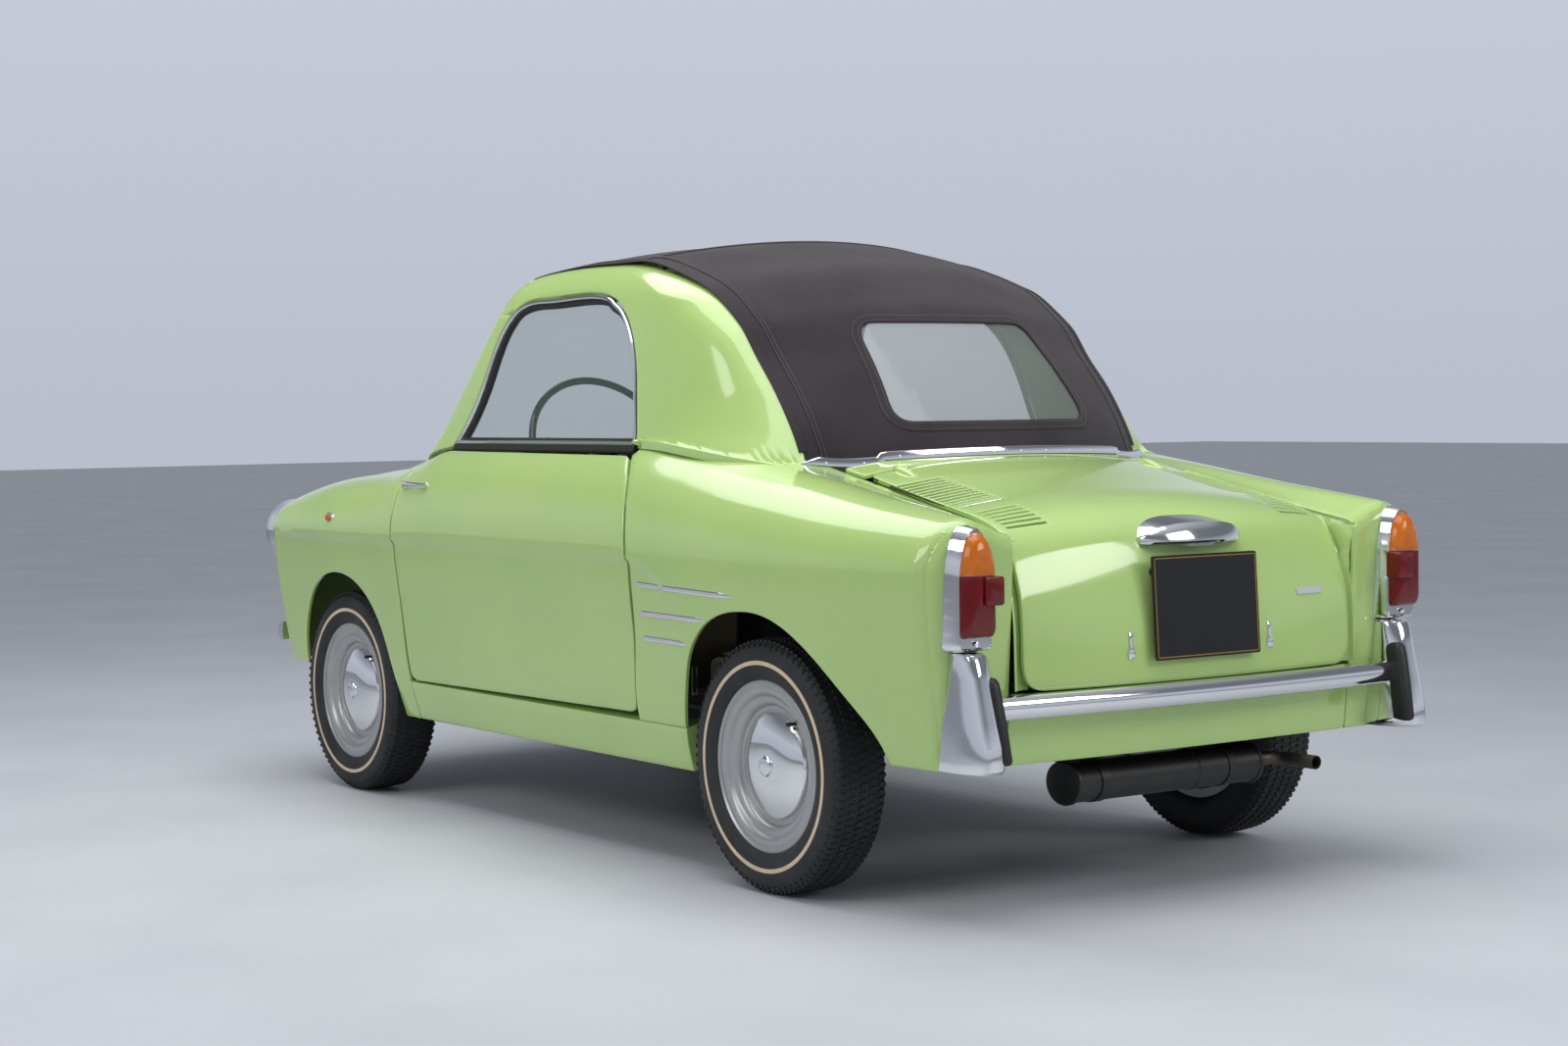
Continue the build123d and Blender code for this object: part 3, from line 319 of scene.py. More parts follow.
def half_outline(half, front, bow, length, width, rear, rear_bow, rear_length, rear_width, fine=8):
    """Right half of a plan outline, as in the part's source but with closer points."""
    grip = 0.55
    front_side = half - width
    t = np.linspace(0, 1, 4 * fine + 1)
    points = [np.stack([front + bow * t**2, front_side * t], 1)]

    def bezier(a, b, c, d):
        s = np.linspace(0, 1, 4 * fine + 1)[1:, None]
        return ((1 - s)**3 * np.array(a) + 3 * (1 - s)**2 * s * np.array(b)
            + 3 * (1 - s) * s**2 * np.array(c) + s**3 * np.array(d))

    a = (front + bow, front_side)
    b = (a[0] + length, half)
    lean = 2 * bow / front_side * width * grip
    points.append(bezier(a, (a[0] + lean, a[1] + width * grip), (b[0] - length * grip, half), b))
    d = (rear - rear_bow, half - rear_width)
    c = (d[0] - rear_length, half)
    s = np.linspace(0, 1, 7 * fine + 1)[1:]
    points.append(np.stack([b[0] + (c[0] - b[0]) * s, np.full_like(s, half)], 1))
    lean = 2 * rear_bow / d[1] * rear_width * grip
    points.append(bezier(c, (c[0] + rear_length * grip, half), (d[0] - lean, d[1] + rear_width * grip), d))
    s = np.linspace(0, 1, 4 * fine + 1)[1:]
    points.append(np.stack([rear - rear_bow * (1 - s)**2, d[1] * (1 - s)], 1))
    return np.concatenate(points)


def plan_outline(z, inset=0):
    return half_outline(720 - inset, along(NOSE, z) + inset, 45, 210, 190, along(TAIL, z) - inset, 22, 170, 150)


def cabin_outline(z, inset=0):
    half = along(CABIN_HALF_WIDTH, z) - inset
    rear = along(FABRIC_EDGE, z) + 130 - inset
    corner_width = half - (FABRIC_HALF_WIDTH - 60) * min(1.0, half / 480)
    corner_length = min(rear - 60 - QUARTER_START, 450) if z < 1180 else 200
    return half_outline(half, along(WINDSCREEN, z) + inset, along(WINDSCREEN_BOW, z), along(PILLAR_LENGTH, z),
                        along(PILLAR_WIDTH, z), rear, 60, corner_length, corner_width)


def roof_drop(y):
    """How far the roof falls away to the sides."""
    return ROOF_DROP * (y / ROOF_DROP_AT) ** 2


def roof_stretch(y):
    """How much sooner the roof's line runs at this width: its rear foot is curved in plan."""
    return 1 + ROOF_CURVE * (y / ROOF_CURVE_AT) ** 2


def roof_height(x, y):
    stretched = ROOF_CURVE_FROM + (x - ROOF_CURVE_FROM) * roof_stretch(y)
    return along(ROOF_LINE, stretched) - roof_drop(y)


# heights at which the nose and tail walls and the cabin are drawn
plan_zs = np.arange(190, 901, 10.0)
cabin_zs = np.arange(780, 1341, 5.0)


def plan_level(z):
    """Number of the plan level nearest to a height."""
    return int(np.clip(round((z - plan_zs[0]) / 10), 0, len(plan_zs) - 1))


# -------- panels cut from sheets
def inside(points, ring):
    """Which points lie inside a closed ring."""
    x, y = points[:, 0][:, None], points[:, 1][:, None]
    a, b = ring, np.roll(ring, -1, axis=0)
    crosses = (a[None, :, 1] > y) != (b[None, :, 1] > y)
    dy = b[:, 1] - a[:, 1]
    at = a[None, :, 0] + (y - a[None, :, 1]) / np.where(dy == 0, 1e-12, dy)[None] * (b[:, 0] - a[:, 0])[None]
    return (crosses & (x < at)).sum(1) % 2 == 1


def reach(points, ring):
    """Distance of each point from a closed ring."""
    a, b = ring, np.roll(ring, -1, axis=0)
    d = b - a
    long = np.maximum((d**2).sum(1), 1e-12)
    best = np.full(len(points), 1e9)
    for k in range(0, len(points), 4000):
        p = points[k:k + 4000]
        t = np.clip(((p[:, None] - a[None]) * d[None]).sum(2) / long[None], 0, 1)
        gap = p[:, None] - (a[None] + t[..., None] * d[None])
        best[k:k + 4000] = np.sqrt((gap**2).sum(2)).min(1)
    return best


def ring_area(ring):
    """Area of a closed ring, negative when it runs clockwise."""
    return 0.5 * (ring[:, 0] * np.roll(ring[:, 1], -1) - np.roll(ring[:, 0], -1) * ring[:, 1]).sum()


def inward(ring, amount, hole=False):
    """The ring moved to the panel's side."""
    tangent = np.roll(ring, -1, axis=0) - np.roll(ring, 1, axis=0)
    tangent = unit(tangent)
    normal = np.stack([-tangent[:, 1], tangent[:, 0]], 1) * (1 if ring_area(ring) > 0 else -1)
    return ring + normal * amount * (-1 if hole else 1)


def new_piece(name, verts, faces, materials=()):
    """A smooth-shaded object from verts in metres and faces."""
    mesh = bpy.data.meshes.new(name)
    mesh.from_pydata([tuple(v) for v in verts], [], [tuple(int(i) for i in f) for f in faces])
    mesh.update()
    mesh.polygons.foreach_set("use_smooth", [True] * len(mesh.polygons))
    obj = bpy.data.objects.new(name, mesh)
    bpy.context.scene.collection.objects.link(obj)
    for m in materials:
        mesh.materials.append(m)
    return obj


def panel_mesh(sheet, outline, holes=(), step=13.0, thick=8, edge=3.0, flip=True):
    """Verts and faces of a panel: part of a sheet within an outline, with rounded edges and its thickness.
    The edge is the width of its rounding. A sheet whose own normal points inwards is flipped."""
    rings = [(np.asarray(outline, float), False)] + [(np.asarray(hole, float), True) for hole in holes]
    points, drops, edges, borders, inner = [], [], [], [], []
    count = 0
    for ring, hole in rings:
        rows = [(ring, 1.0)]
        if edge:
            rows += [(inward(ring, edge * 0.3, hole), 0.42), (inward(ring, edge, hole), 0.0)]
        borders.append(np.arange(count, count + len(ring)))
        for row, drop in rows:
            keep = np.ones(len(row), bool)
            if drop < 1.0:
                keep = reach(row, ring) > 0.2 * edge if drop > 0 else reach(row, ring) > 0.75 * edge
            if drop == 1.0:
                edges += [(count + i, count + (i + 1) % len(row)) for i in range(len(row))]
            points.append(row[keep])
            drops.append(np.full(keep.sum(), drop))
            count += int(keep.sum())
        inner.append((rows[-1][0], hole))
    low, high = rings[0][0].min(0), rings[0][0].max(0)
    nx, ny = np.maximum(((high - low) / step).astype(int), 1)
    gx = np.linspace(low[0], high[0], nx + 1)
    gy = np.linspace(low[1], high[1], ny + 1)
    grid = np.stack(np.meshgrid(gx, gy, indexing="ij"), 2).reshape(-1, 2)
    good = inside(grid, inner[0][0]) & (reach(grid, inner[0][0]) > 0.45 * step)
    for ring, _ in inner[1:]:
        good &= ~inside(grid, ring) & (reach(grid, ring) > 0.45 * step)
    points.append(grid[good])
    drops.append(np.zeros(good.sum()))
    flat = np.concatenate(points)
    drops = np.concatenate(drops)
    made = delaunay_2d_cdt([Vector(p) for p in flat], edges, [], 0, 1e-6)
    places = np.array([tuple(v) for v in made[0]])
    origin = np.array([o[0] if o else 0 for o in made[3]])
    faces = np.array([list(f) for f in made[2]])
    middles = places[faces].mean(1)
    good = inside(middles, rings[0][0])
    for ring, _ in rings[1:]:
        good &= ~inside(middles, ring)
    faces = faces[good]
    turn = np.cross(places[faces[:, 1]] - places[faces[:, 0]], places[faces[:, 2]] - places[faces[:, 0]])
    faces[turn < 0] = faces[turn < 0][:, ::-1]
    drops = drops[origin]
    back = {int(o): k for k, o in enumerate(origin)}
    top = sheet(places)
    normal = normals_on(sheet, places, flip, 1.5)
    if flip:
        faces = faces[:, ::-1]
    n = len(top)
    verts = [top - normal * (drops * edge * 0.6)[:, None], top - normal * thick]
    all_faces = [faces, faces[:, ::-1] + n]
    for k, border in enumerate(borders):
        b = np.array([back[int(i)] for i in border if int(i) in back])
        c = np.roll(b, -1)
        # the wall's turn follows the ring's
        forward = (ring_area(places[b]) > 0) ^ (k > 0) ^ flip
        quad = np.stack([b, b + n, c + n, c], 1) if forward else np.stack([c, c + n, b + n, b], 1)
        all_faces.append(np.concatenate([quad[:, :3], quad[:, [0, 2, 3]]]))
    used = np.unique(np.concatenate([f.ravel() for f in all_faces]))
    verts = np.concatenate(verts)
    renumber = np.full(len(verts), -1)
    renumber[used] = np.arange(len(used))
    return verts[used] * MM, renumber[np.concatenate(all_faces)]


def join_meshes(*parts):
    verts, faces, count = [], [], 0
    for v, f in parts:
        verts.append(v)
        faces += [tuple(int(i) + count for i in face) for face in f]
        count += len(v)
    return np.concatenate(verts), faces


def mirror_mesh(part):
    v, f = part
    return v * [1, -1, 1], [tuple(int(i) for i in face)[::-1] for face in f]


def both_sides(part):
    """A right-hand mesh and its mirror image as one."""
    return join_meshes(part, mirror_mesh(part))


def stack(rings, closed=False):
    """Verts and faces lofted through rings of the same number of points; closed joins the last to the first."""
    m, n = len(rings[0]), len(rings)
    faces = []
    for i in range(n if closed else n - 1):
        j = (i + 1) % n
        faces += [(i * m + k, i * m + (k + 1) % m, j * m + (k + 1) % m, j * m + k) for k in range(m)]
    if not closed:
        faces += [tuple(range(m))[::-1], tuple((n - 1) * m + k for k in range(m))]
    return np.concatenate([np.asarray(ring, float) for ring in rings]) * MM, faces


def sweep(path, ups, profile, closed=False):
    """Verts and faces of a bar along a path; the profile is (sideways, upwards) points, anticlockwise."""
    path = np.asarray(path, float)
    ups = np.asarray(ups, float)
    if ups.ndim == 1:
        ups = np.tile(ups, (len(path), 1))
    ahead = np.roll(path, -1, axis=0) - np.roll(path, 1, axis=0)
    if not closed:
        ahead[0], ahead[-1] = path[1] - path[0], path[-1] - path[-2]
    ahead = unit(ahead)
    side = np.cross(ahead, ups)
    side = unit(side)
    up = np.cross(side, ahead)
    profile = np.asarray(profile, float)
    return stack(path[:, None] + side[:, None] * profile[None, :, :1] + up[:, None] * profile[None, :, 1:],
        closed)


def circle_profile(radius, count=10, squash=1.0):
    turn = whole_turn(count)
    return np.stack([radius * np.cos(turn), radius * squash * np.sin(turn)], 1)


def lathe(centre, axis_sign, outline, count=96):
    """Verts and faces turned about a line across the car; the outline is (outwards, radius) points."""
    outline = np.asarray(outline, float)
    turn = whole_turn(count)
    m = len(outline)
    verts = np.zeros((count, m, 3))
    verts[..., 0] = centre[0] + outline[None, :, 1] * np.cos(turn)[:, None]
    verts[..., 1] = centre[1] + axis_sign * outline[None, :, 0]
    verts[..., 2] = centre[2] + outline[None, :, 1] * np.sin(turn)[:, None]
    faces = []
    for i in range(count):
        j = (i + 1) % count
        for k in range(m):
            faces.append((i * m + k, j * m + k, j * m + (k + 1) % m, i * m + (k + 1) % m))
    return verts.reshape(-1, 3) * MM, faces


def settle(obj, weld=0.00002, angle=None):
    """Welds doubles, drops dead faces and points every face outwards."""
    bm = bmesh.new()
    bm.from_mesh(obj.data)
    bmesh.ops.remove_doubles(bm, verts=bm.verts, dist=weld)
    bmesh.ops.dissolve_degenerate(bm, edges=bm.edges, dist=1e-7)
    bmesh.ops.recalc_face_normals(bm, faces=bm.faces)
    bm.to_mesh(obj.data)
    bm.free()
    if angle is not None:
        obj.data.set_sharp_from_angle(angle=math.radians(angle))
    return obj


def piece(name, part, material, body_name, slot, replaces=(), angle=40, settled=True):
    """A finished piece from verts and faces, on its body. Edges sharper than the angle stay crisp."""
    obj = new_piece(name, part[0], part[1], [material])
    if settled:
        settle(obj, angle=angle)
    elif angle is not None:
        obj.data.set_sharp_from_angle(angle=math.radians(angle))
    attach(obj, body_name)
    if replaces:
        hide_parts(*replaces)
    return obj


def left_and_right(name, part, material, body_name, slot, replaces=None, **more):
    """The same piece on the right and mirrored on the left; the names of body and node may hold a {}."""
    for side, mesh in (("right", part), ("left", mirror_mesh(part))):
        nodes = [replaces.format(side)] if replaces else ()
        piece(f"{name}_{side}", mesh, material, body_name.format(side), slot, nodes, **more)


# -------- materials
def linear(hex_colour):
    """sRGB hex to the linear colour that a shader takes."""
    out = []
    for k in (0, 2, 4):
        c = int(hex_colour[k:k + 2], 16) / 255
        out.append(c / 12.92 if c <= 0.04045 else ((c + 0.055) / 1.055) ** 2.4)
    return (*out, 1.0)


def node(tree, kind, settings=None, links=None, **attributes):
    """Adds one node; links maps an input to (node, output)."""
    made = tree.nodes.new(kind)
    for key, value in attributes.items():
        setattr(made, key, value)
    for key, value in (settings or {}).items():
        made.inputs[key].default_value = value
    for key, (source, output) in (links or {}).items():
        tree.links.new(source.outputs[output], made.inputs[key])
    return made


def shader(name, colour, roughness, settings=None, bump=None, tint=None, worn=None):
    """Principled material. bump is (texture kind, scale per metre, distance in mm, strength);
    tint is (second colour, scale per metre, share); worn is (noise scale, roughness low, roughness high)."""
    made = bpy.data.materials.new(name)
    made.use_nodes = True
    tree = made.node_tree
    tree.nodes.clear()
    out = tree.nodes.new("ShaderNodeOutputMaterial")
    surface = node(tree, "ShaderNodeBsdfPrincipled", {"Base Color": linear(colour), "Roughness": roughness,
        **(settings or {})})
    tree.links.new(surface.outputs[0], out.inputs["Surface"])
    place = node(tree, "ShaderNodeTexCoord")
    if tint:
        cloud = node(tree, "ShaderNodeTexNoise", {"Scale": tint[1], "Detail": 4.0},
            {"Vector": (place, "Object")})
        mix = node(tree, "ShaderNodeMix", {6: linear(colour), 7: linear(tint[0])}, data_type="RGBA")
        level = node(tree, "ShaderNodeMapRange", {"From Min": 0.35, "From Max": 0.7, "To Max": tint[2]},
            {"Value": (cloud, "Fac")})
        tree.links.new(level.outputs[0], mix.inputs[0])
        tree.links.new(mix.outputs[2], surface.inputs["Base Color"])
    if worn:
        cloud = node(tree, "ShaderNodeTexNoise", {"Scale": worn[0], "Detail": 5.0},
            {"Vector": (place, "Object")})
        level = node(tree, "ShaderNodeMapRange", {"From Min": 0.3, "From Max": 0.7, "To Min": worn[1],
            "To Max": worn[2]}, {"Value": (cloud, "Fac")})
        tree.links.new(level.outputs[0], surface.inputs["Roughness"])
    if bump:
        kind, scale, distance, strength = bump
        if kind == "noise":
            grain = node(tree, "ShaderNodeTexNoise", {"Scale": scale, "Detail": 6.0, "Roughness": 0.6},
                {"Vector": (place, "Object")})
            output = "Fac"
        elif kind == "voronoi":
            grain = node(tree, "ShaderNodeTexVoronoi", {"Scale": scale}, {"Vector": (place, "Object")})
            output = "Distance"
        else:
            grain = node(tree, "ShaderNodeTexWave", {"Scale": scale, "Distortion": 0.6, "Detail": 2.0},
                {"Vector": (place, "Object")}, wave_type="BANDS", bands_direction=kind)
            output = "Fac"
        relief = node(tree, "ShaderNodeBump", {"Strength": strength, "Distance": distance * MM},
            {"Height": (grain, output)})
        tree.links.new(relief.outputs[0], surface.inputs["Normal"])
    return made


# air-dried enamel, sprayed and polished: clean reflections over a faint orange peel
enamel = shader("pistachio_enamel", "AFCC78", 0.12,
    {"Coat Weight": 0.6, "Coat Roughness": 0.04, "Specular IOR Level": 0.5}, ("noise", 260.0, 0.02, 0.05),
    ("A2C475", 3.0, 0.5))
# the same enamel inside, thinner and less polished
inner_enamel = shader("satin_pistachio_enamel", "9DBB72", 0.35, {}, ("noise", 300.0, 0.05, 0.15),
    ("8EAB66", 5.0, 0.6))
# polished chrome plate: mirror bright with hair-fine hazing
chrome = shader("polished_chrome_plate", "E4E5E6", 0.06, {"Metallic": 1.0}, None, None, (14.0, 0.04, 0.11))
# stove-enamelled steel rims, silver grey with a low sheen
rim_enamel = shader("silver_grey_rim_enamel", "A9AAA9", 0.32, {"Metallic": 0.55}, ("noise", 500.0, 0.03, 0.12),
    ("9C9D9C", 20.0, 0.5))
# moulded carbon-black rubber: dull, patchy where it has been wiped and where it has not
tyre_rubber = shader("black_tyre_rubber", "1B1B1C", 0.62, {}, ("noise", 420.0, 0.15, 0.3),
    ("262627", 22.0, 0.8), (9.0, 0.5, 0.72))
# extruded seal rubber, dressed: a soft, even, darker sheen
seal_rubber = shader("black_seal_rubber", "141414", 0.5, {}, ("noise", 700.0, 0.05, 0.2), ("1E1E1E", 30.0, 0.6))
# pale rubber band vulcanised into the tyre's side: chalky and slightly soiled
stripe_rubber = shader("cream_side_stripe", "D8C4A6", 0.6, {}, ("noise", 500.0, 0.08, 0.2),
    ("C7B191", 30.0, 0.7))
# brushed-on chassis enamel over steel: black, uneven satin
black_enamel = shader("satin_black_chassis_enamel", "121212", 0.4, {}, ("noise", 200.0, 0.1, 0.2),
    ("1D1B19", 12.0, 0.8))
# sand-cast aluminium, left raw: grey, with a grain that scatters the light
aluminium = shader("raw_aluminium_casting", "8D8F90", 0.45, {"Metallic": 1.0}, ("noise", 600.0, 0.1, 0.3),
    ("75777A", 15.0, 0.7))
# mild steel tube that has been hot: brown blooms over dull metal
exhaust_steel = shader("weathered_exhaust_steel", "6A645E", 0.5, {"Metallic": 0.9}, ("noise", 350.0, 0.1, 0.3),
    ("4B3A2E", 9.0, 0.9))
# moulded phenolic resin, polished: deep black with a hard, clear gloss
black_resin = shader("glossy_black_phenolic_resin", "0C0C0D", 0.15, {"Coat Weight": 0.3},
    ("noise", 300.0, 0.02, 0.05), ("141415", 10.0, 0.5))
# injection-moulded plastic: a fine even grain that spreads each highlight
grey_plastic = shader("grey_instrument_hood_plastic", "8F9590", 0.35, {}, ("noise", 700.0, 0.05, 0.2),
    ("858B86", 10.0, 0.5))
# moulded acrylic lenses: light goes a little way in, and ribs break up the highlight
amber_lens = shader("amber_lens_acrylic", "E07A12", 0.12,
    {"Transmission Weight": 0.25, "Subsurface Weight": 0.15, "IOR": 1.49}, ("X", 90.0, 0.25, 0.25),
    ("C9650A", 30.0, 0.7))
red_lens = shader("dark_red_lens_acrylic", "7A0A0E", 0.12,
    {"Transmission Weight": 0.2, "Subsurface Weight": 0.1, "IOR": 1.49}, ("X", 90.0, 0.25, 0.25),
    ("56060A", 30.0, 0.7))
# the body's enamel, unpolished and flat, with painted shade: near black, standing in for the darkness inside
# the engine bay and the luggage tub
painted_shade_enamel = shader("engine_bay_painted_shade_enamel", "1C2016", 0.6, {}, ("noise", 100.0, 0.1, 0.2),
    ("11130E", 9.0, 0.7))
# coated cotton with a pressed pebble grain, drawn at about 1 mm: leathery, with broad soft highlights
seat_cloth = shader("grey_beige_seat_leathercloth", "A79A86", 0.55, {"Sheen Weight": 0.1},
    ("voronoi", 900.0, 0.15, 0.35), ("978A76", 8.0, 0.6))
# moulded rubber with ribs about 5 mm apart: matt, with a ribbed relief
rubber_mat = shader("ribbed_rubber_floor_mat", "23241F", 0.6, {}, ("Y", 60.0, 0.8, 0.5), ("2E2F29", 9.0, 0.7))
# stoved enamel on sheet steel: flat, dark and smooth
plate_enamel = shader("black_plate_enamel", "0B0B0C", 0.25, {}, ("noise", 150.0, 0.03, 0.1),
    ("121212", 20.0, 0.5))
# gold paint, rubbed: a warm line that is only partly metallic
gilt_line = shader("gilt_border_line", "B48A3A", 0.35, {"Metallic": 0.6}, ("noise", 500.0, 0.02, 0.1),
    ("9C762E", 40.0, 0.5))


def glassy(name, colour, see_through, roughness, bump=None):
    """Thin clear sheet: partly see-through, with a mirror-like face."""
    made = shader(name, colour, roughness, {"Alpha": see_through, "Specular IOR Level": 0.6}, bump,
        (colour, 5.0, 0.0))
    made.surface_render_method = "BLENDED"
    return made


# float glass: clear, faintly green, with a mirror-like face
window_glass = glassy("clear_float_glass", "8FA39B", 0.12, 0.02)
# flexible clear sheet that has yellowed and rippled: hazy, with wandering reflections
soft_window = glassy("clear_pvc_window_sheet", "9AA09C", 0.28, 0.08, ("noise", 7.0, 6.0, 0.35))


def canvas_material():
    """Weatherproof duck canvas: dark aubergine brown and matt, with a close plain weave.
    The weave is drawn at about 2 mm, coarser than life, so that it shows."""
    made = shader("aubergine_duck_canvas", "453B41", 0.85,
        {"Sheen Weight": 0.12, "Sheen Roughness": 0.5, "Specular IOR Level": 0.2})
    tree = made.node_tree
    surface = next(n for n in tree.nodes if n.type == "BSDF_PRINCIPLED")
    place = next(n for n in tree.nodes if n.type == "TEX_COORD")
    warp = node(tree, "ShaderNodeTexWave", {"Scale": 160.0, "Distortion": 0.3}, {"Vector": (place, "Object")},
        bands_direction="X")
    weft = node(tree, "ShaderNodeTexWave", {"Scale": 160.0, "Distortion": 0.3}, {"Vector": (place, "Object")},
        bands_direction="Y")
    weave = node(tree, "ShaderNodeMath", {}, {0: (warp, "Fac"), 1: (weft, "Fac")}, operation="MULTIPLY")
    cloud = node(tree, "ShaderNodeTexNoise", {"Scale": 6.0, "Detail": 6.0}, {"Vector": (place, "Object")})
    faded = node(tree, "ShaderNodeMapRange", {"From Min": 0.35, "From Max": 0.7}, {"Value": (cloud, "Fac")})
    mix = node(tree, "ShaderNodeMix", {6: linear("2D272B"), 7: linear("383136")}, {0: (faded, 0)},
        data_type="RGBA")
    tree.links.new(mix.outputs[2], surface.inputs["Base Color"])
    slack = node(tree, "ShaderNodeTexNoise", {"Scale": 9.0, "Detail": 3.0}, {"Vector": (place, "Object")})
    ripple = node(tree, "ShaderNodeBump", {"Strength": 0.35, "Distance": 0.006}, {"Height": (slack, "Fac")})
    relief = node(tree, "ShaderNodeBump", {"Strength": 0.5, "Distance": 0.0004},
        {"Height": (weave, 0), "Normal": (ripple, 0)})
    tree.links.new(relief.outputs[0], surface.inputs["Normal"])
    return made


canvas = canvas_material()

# -------- whole-width sheets
full_us = np.linspace(0, 2 * GIRTH, 453)
full_table = np.concatenate([body_table, body_table[:, -2::-1] * [1, -1, 1]], 1)
full_body = Sheet(body_xs, full_us, full_table)


def wrap_sheet(outline, levels, reach_each_way, step, from_rear=False):
    """Sheet of (way round from the middle, height) for a family of plan outlines, and its table for lookups."""
    ways = np.arange(-reach_each_way, reach_each_way + 1e-6, step)
    table = np.zeros((len(ways), len(levels), 3))
    for k, z in enumerate(levels):
        half = outline(z)
        if from_rear:
            half = half[::-1]
        run = run_along(half)
        away = np.abs(ways)
        table[:, k, 0] = np.interp(away, run, half[:, 0])
        table[:, k, 1] = np.interp(away, run, half[:, 1]) * np.sign(ways)
        table[:, k, 2] = z
    return Sheet(ways, levels, table)


nose_wall = wrap_sheet(plan_outline, plan_zs, 900, 6)
tail_wall = wrap_sheet(plan_outline, plan_zs, 900, 6, from_rear=True)


def cabin_sheet():
    """Cabin surface by (way round from the windscreen's middle at the 1000 mm level, height)."""
    level = cabin_outline(1000)
    run = run_along(level)
    ways = np.arange(-2100, 2100.1, 6)
    at = np.interp(np.abs(ways), run, np.arange(len(run)))
    table = np.zeros((len(ways), len(cabin_zs), 3))
    low = np.floor(at).astype(int)
    high = np.minimum(low + 1, len(run) - 1)
    share = (at - low)[:, None]
    for k, z in enumerate(cabin_zs):
        half = cabin_outline(z)
        spot = half[low] * (1 - share) + half[high] * share
        table[:, k, 0] = spot[:, 0]
        table[:, k, 1] = spot[:, 1] * np.where(ways < 0, -1, 1)
        table[:, k, 2] = z
    # the corner law changes at one level: smooth it over a few
    for _ in range(3):
        table[:, 1:-1, :2] = (table[:, :-2, :2] + 2 * table[:, 1:-1, :2] + table[:, 2:, :2]) / 4
    return Sheet(ways, cabin_zs, table), run


cabin, cabin_run = cabin_sheet()
cabin_end = float(cabin_run[-1])


def cabin_row(z):
    """Ways round and points of the right half at a height."""
    at = float(np.clip((z - cabin_zs[0]) / 5, 0, len(cabin_zs) - 1.001))
    k = int(at)
    keep = (cabin.us >= 0) & (cabin.us <= cabin_end)
    return cabin.us[keep], cabin.table[keep, k] * (k + 1 - at) + cabin.table[keep, k + 1] * (at - k)


def cabin_at(x=None, y=None, z=None):
    """Way round where the right half reaches this length or width at a height."""
    ways, row = cabin_row(z)
    if x is not None:
        return float(np.interp(x, np.maximum.accumulate(row[:, 0]), ways))
    top = int(np.argmax(row[:, 1] > row[:, 1].max() - 0.5))
    return float(np.interp(y, row[:top + 1, 1], ways[:top + 1]))


def crossing(values, keys):
    """Key where the values first rise through zero."""
    k = int(np.argmax(values > 0))
    if k == 0:
        return float(keys[0])
    t = -values[k - 1] / (values[k] - values[k - 1])
    return float(keys[k - 1] + t * (keys[k] - keys[k - 1]))


def plan_limit(outline, rear=False):
    """Function giving how far out the nose or tail wall lies at a width and height."""
    rows = {}

    def limit(y, z):
        k = plan_level(z)
        if k not in rows:
            half = outline(plan_zs[k])
            rows[k] = half[::-1] if rear else half
        half = rows[k]
        top = int(np.argmax(half[:, 1]))
        return float(np.interp(abs(y), half[:top + 1, 1], half[:top + 1, 0]))
    return limit


nose_limit = plan_limit(plan_outline)
tail_limit = plan_limit(plan_outline, rear=True)


def end_edge(limit, xs, girths):
    """Where the body's skin meets the nose or tail wall: for each place across, its length."""
    out = []
    for b in girths:
        spots = full_body(np.stack([xs, np.full(len(xs), b)], 1))
        gap = np.array([(p[0] - limit(p[1], p[2])) for p in spots])
        out.append(crossing(gap, xs))
    return np.array(out)


nose_girths = np.linspace(girth_at_height(-1400, OVERHANG_HEIGHT), GIRTH, 90)
nose_xs = end_edge(nose_limit, np.arange(-1495, -1300, 3.0), nose_girths)
nose_edge = full_body(np.stack([nose_xs, nose_girths], 1))
tail_inner_width = 442
tail_girths = np.linspace(girth_at_height(1400, REAR_OVERHANG_HEIGHT), girth_at_width(1430, tail_inner_width),
    80)
tail_xs = end_edge(tail_limit, np.arange(1300, 1489, 3.0), tail_girths)
tail_edge = full_body(np.stack([tail_xs, tail_girths], 1))


def way_on(wall, points):
    """(way round, height) on a plan wall of points that lie on it."""
    out = []
    for x, y, z in points:
        k = plan_level(z)
        right = wall.us >= 0
        row = wall.table[right][:, k]
        gap = (row[:, 0] - x) ** 2 + (row[:, 1] - abs(y)) ** 2
        out.append((float(wall.us[right][int(np.argmin(gap))]) * (1 if y >= 0 else -1), z))
    return np.array(out)


def edge_frame(sheet_own, params_own, flip_own, sheet_other, params_other, flip_other, points):
    """A shared edge: its points and the normals of both its surfaces there."""
    return (points, normals_on(sheet_own, params_own, flip_own, 2),
            normals_on(sheet_other, params_other, flip_other, 2))


def softened(points, edge, radius):
    """Points near a shared edge moved on to the rounding between its two surfaces.
    The edge is (points, own normals, other normals)."""
    at, own, other = edge
    out = points.copy()
    radii = np.broadcast_to(np.asarray(radius, float), len(at))
    for k in range(0, len(points), 3000):
        p = points[k:k + 3000]
        gap = np.linalg.norm(p[:, None] - at[None], axis=2)
        near = gap.argmin(1)
        d = gap.min(1)
        radius = radii[near]
        turn = math.pi / 4 * np.clip(1 - d / radius, 0, 1)
        drop = radius * (1 - np.cos(turn))
        shift = np.clip(radius - radius * np.sin(turn) - d, 0, None) * (d < radius)
        out[k:k + 3000] = p - own[near] * drop[:, None] - other[near] * shift[:, None]
    return out


def softened_part(part, edges, radius):
    v, f = part
    points = v / MM
    for edge in edges:
        points = softened(points, edge, radius)
    return points * MM, f


def swap_side(edge):
    return tuple(e * [1, -1, 1] for e in edge)


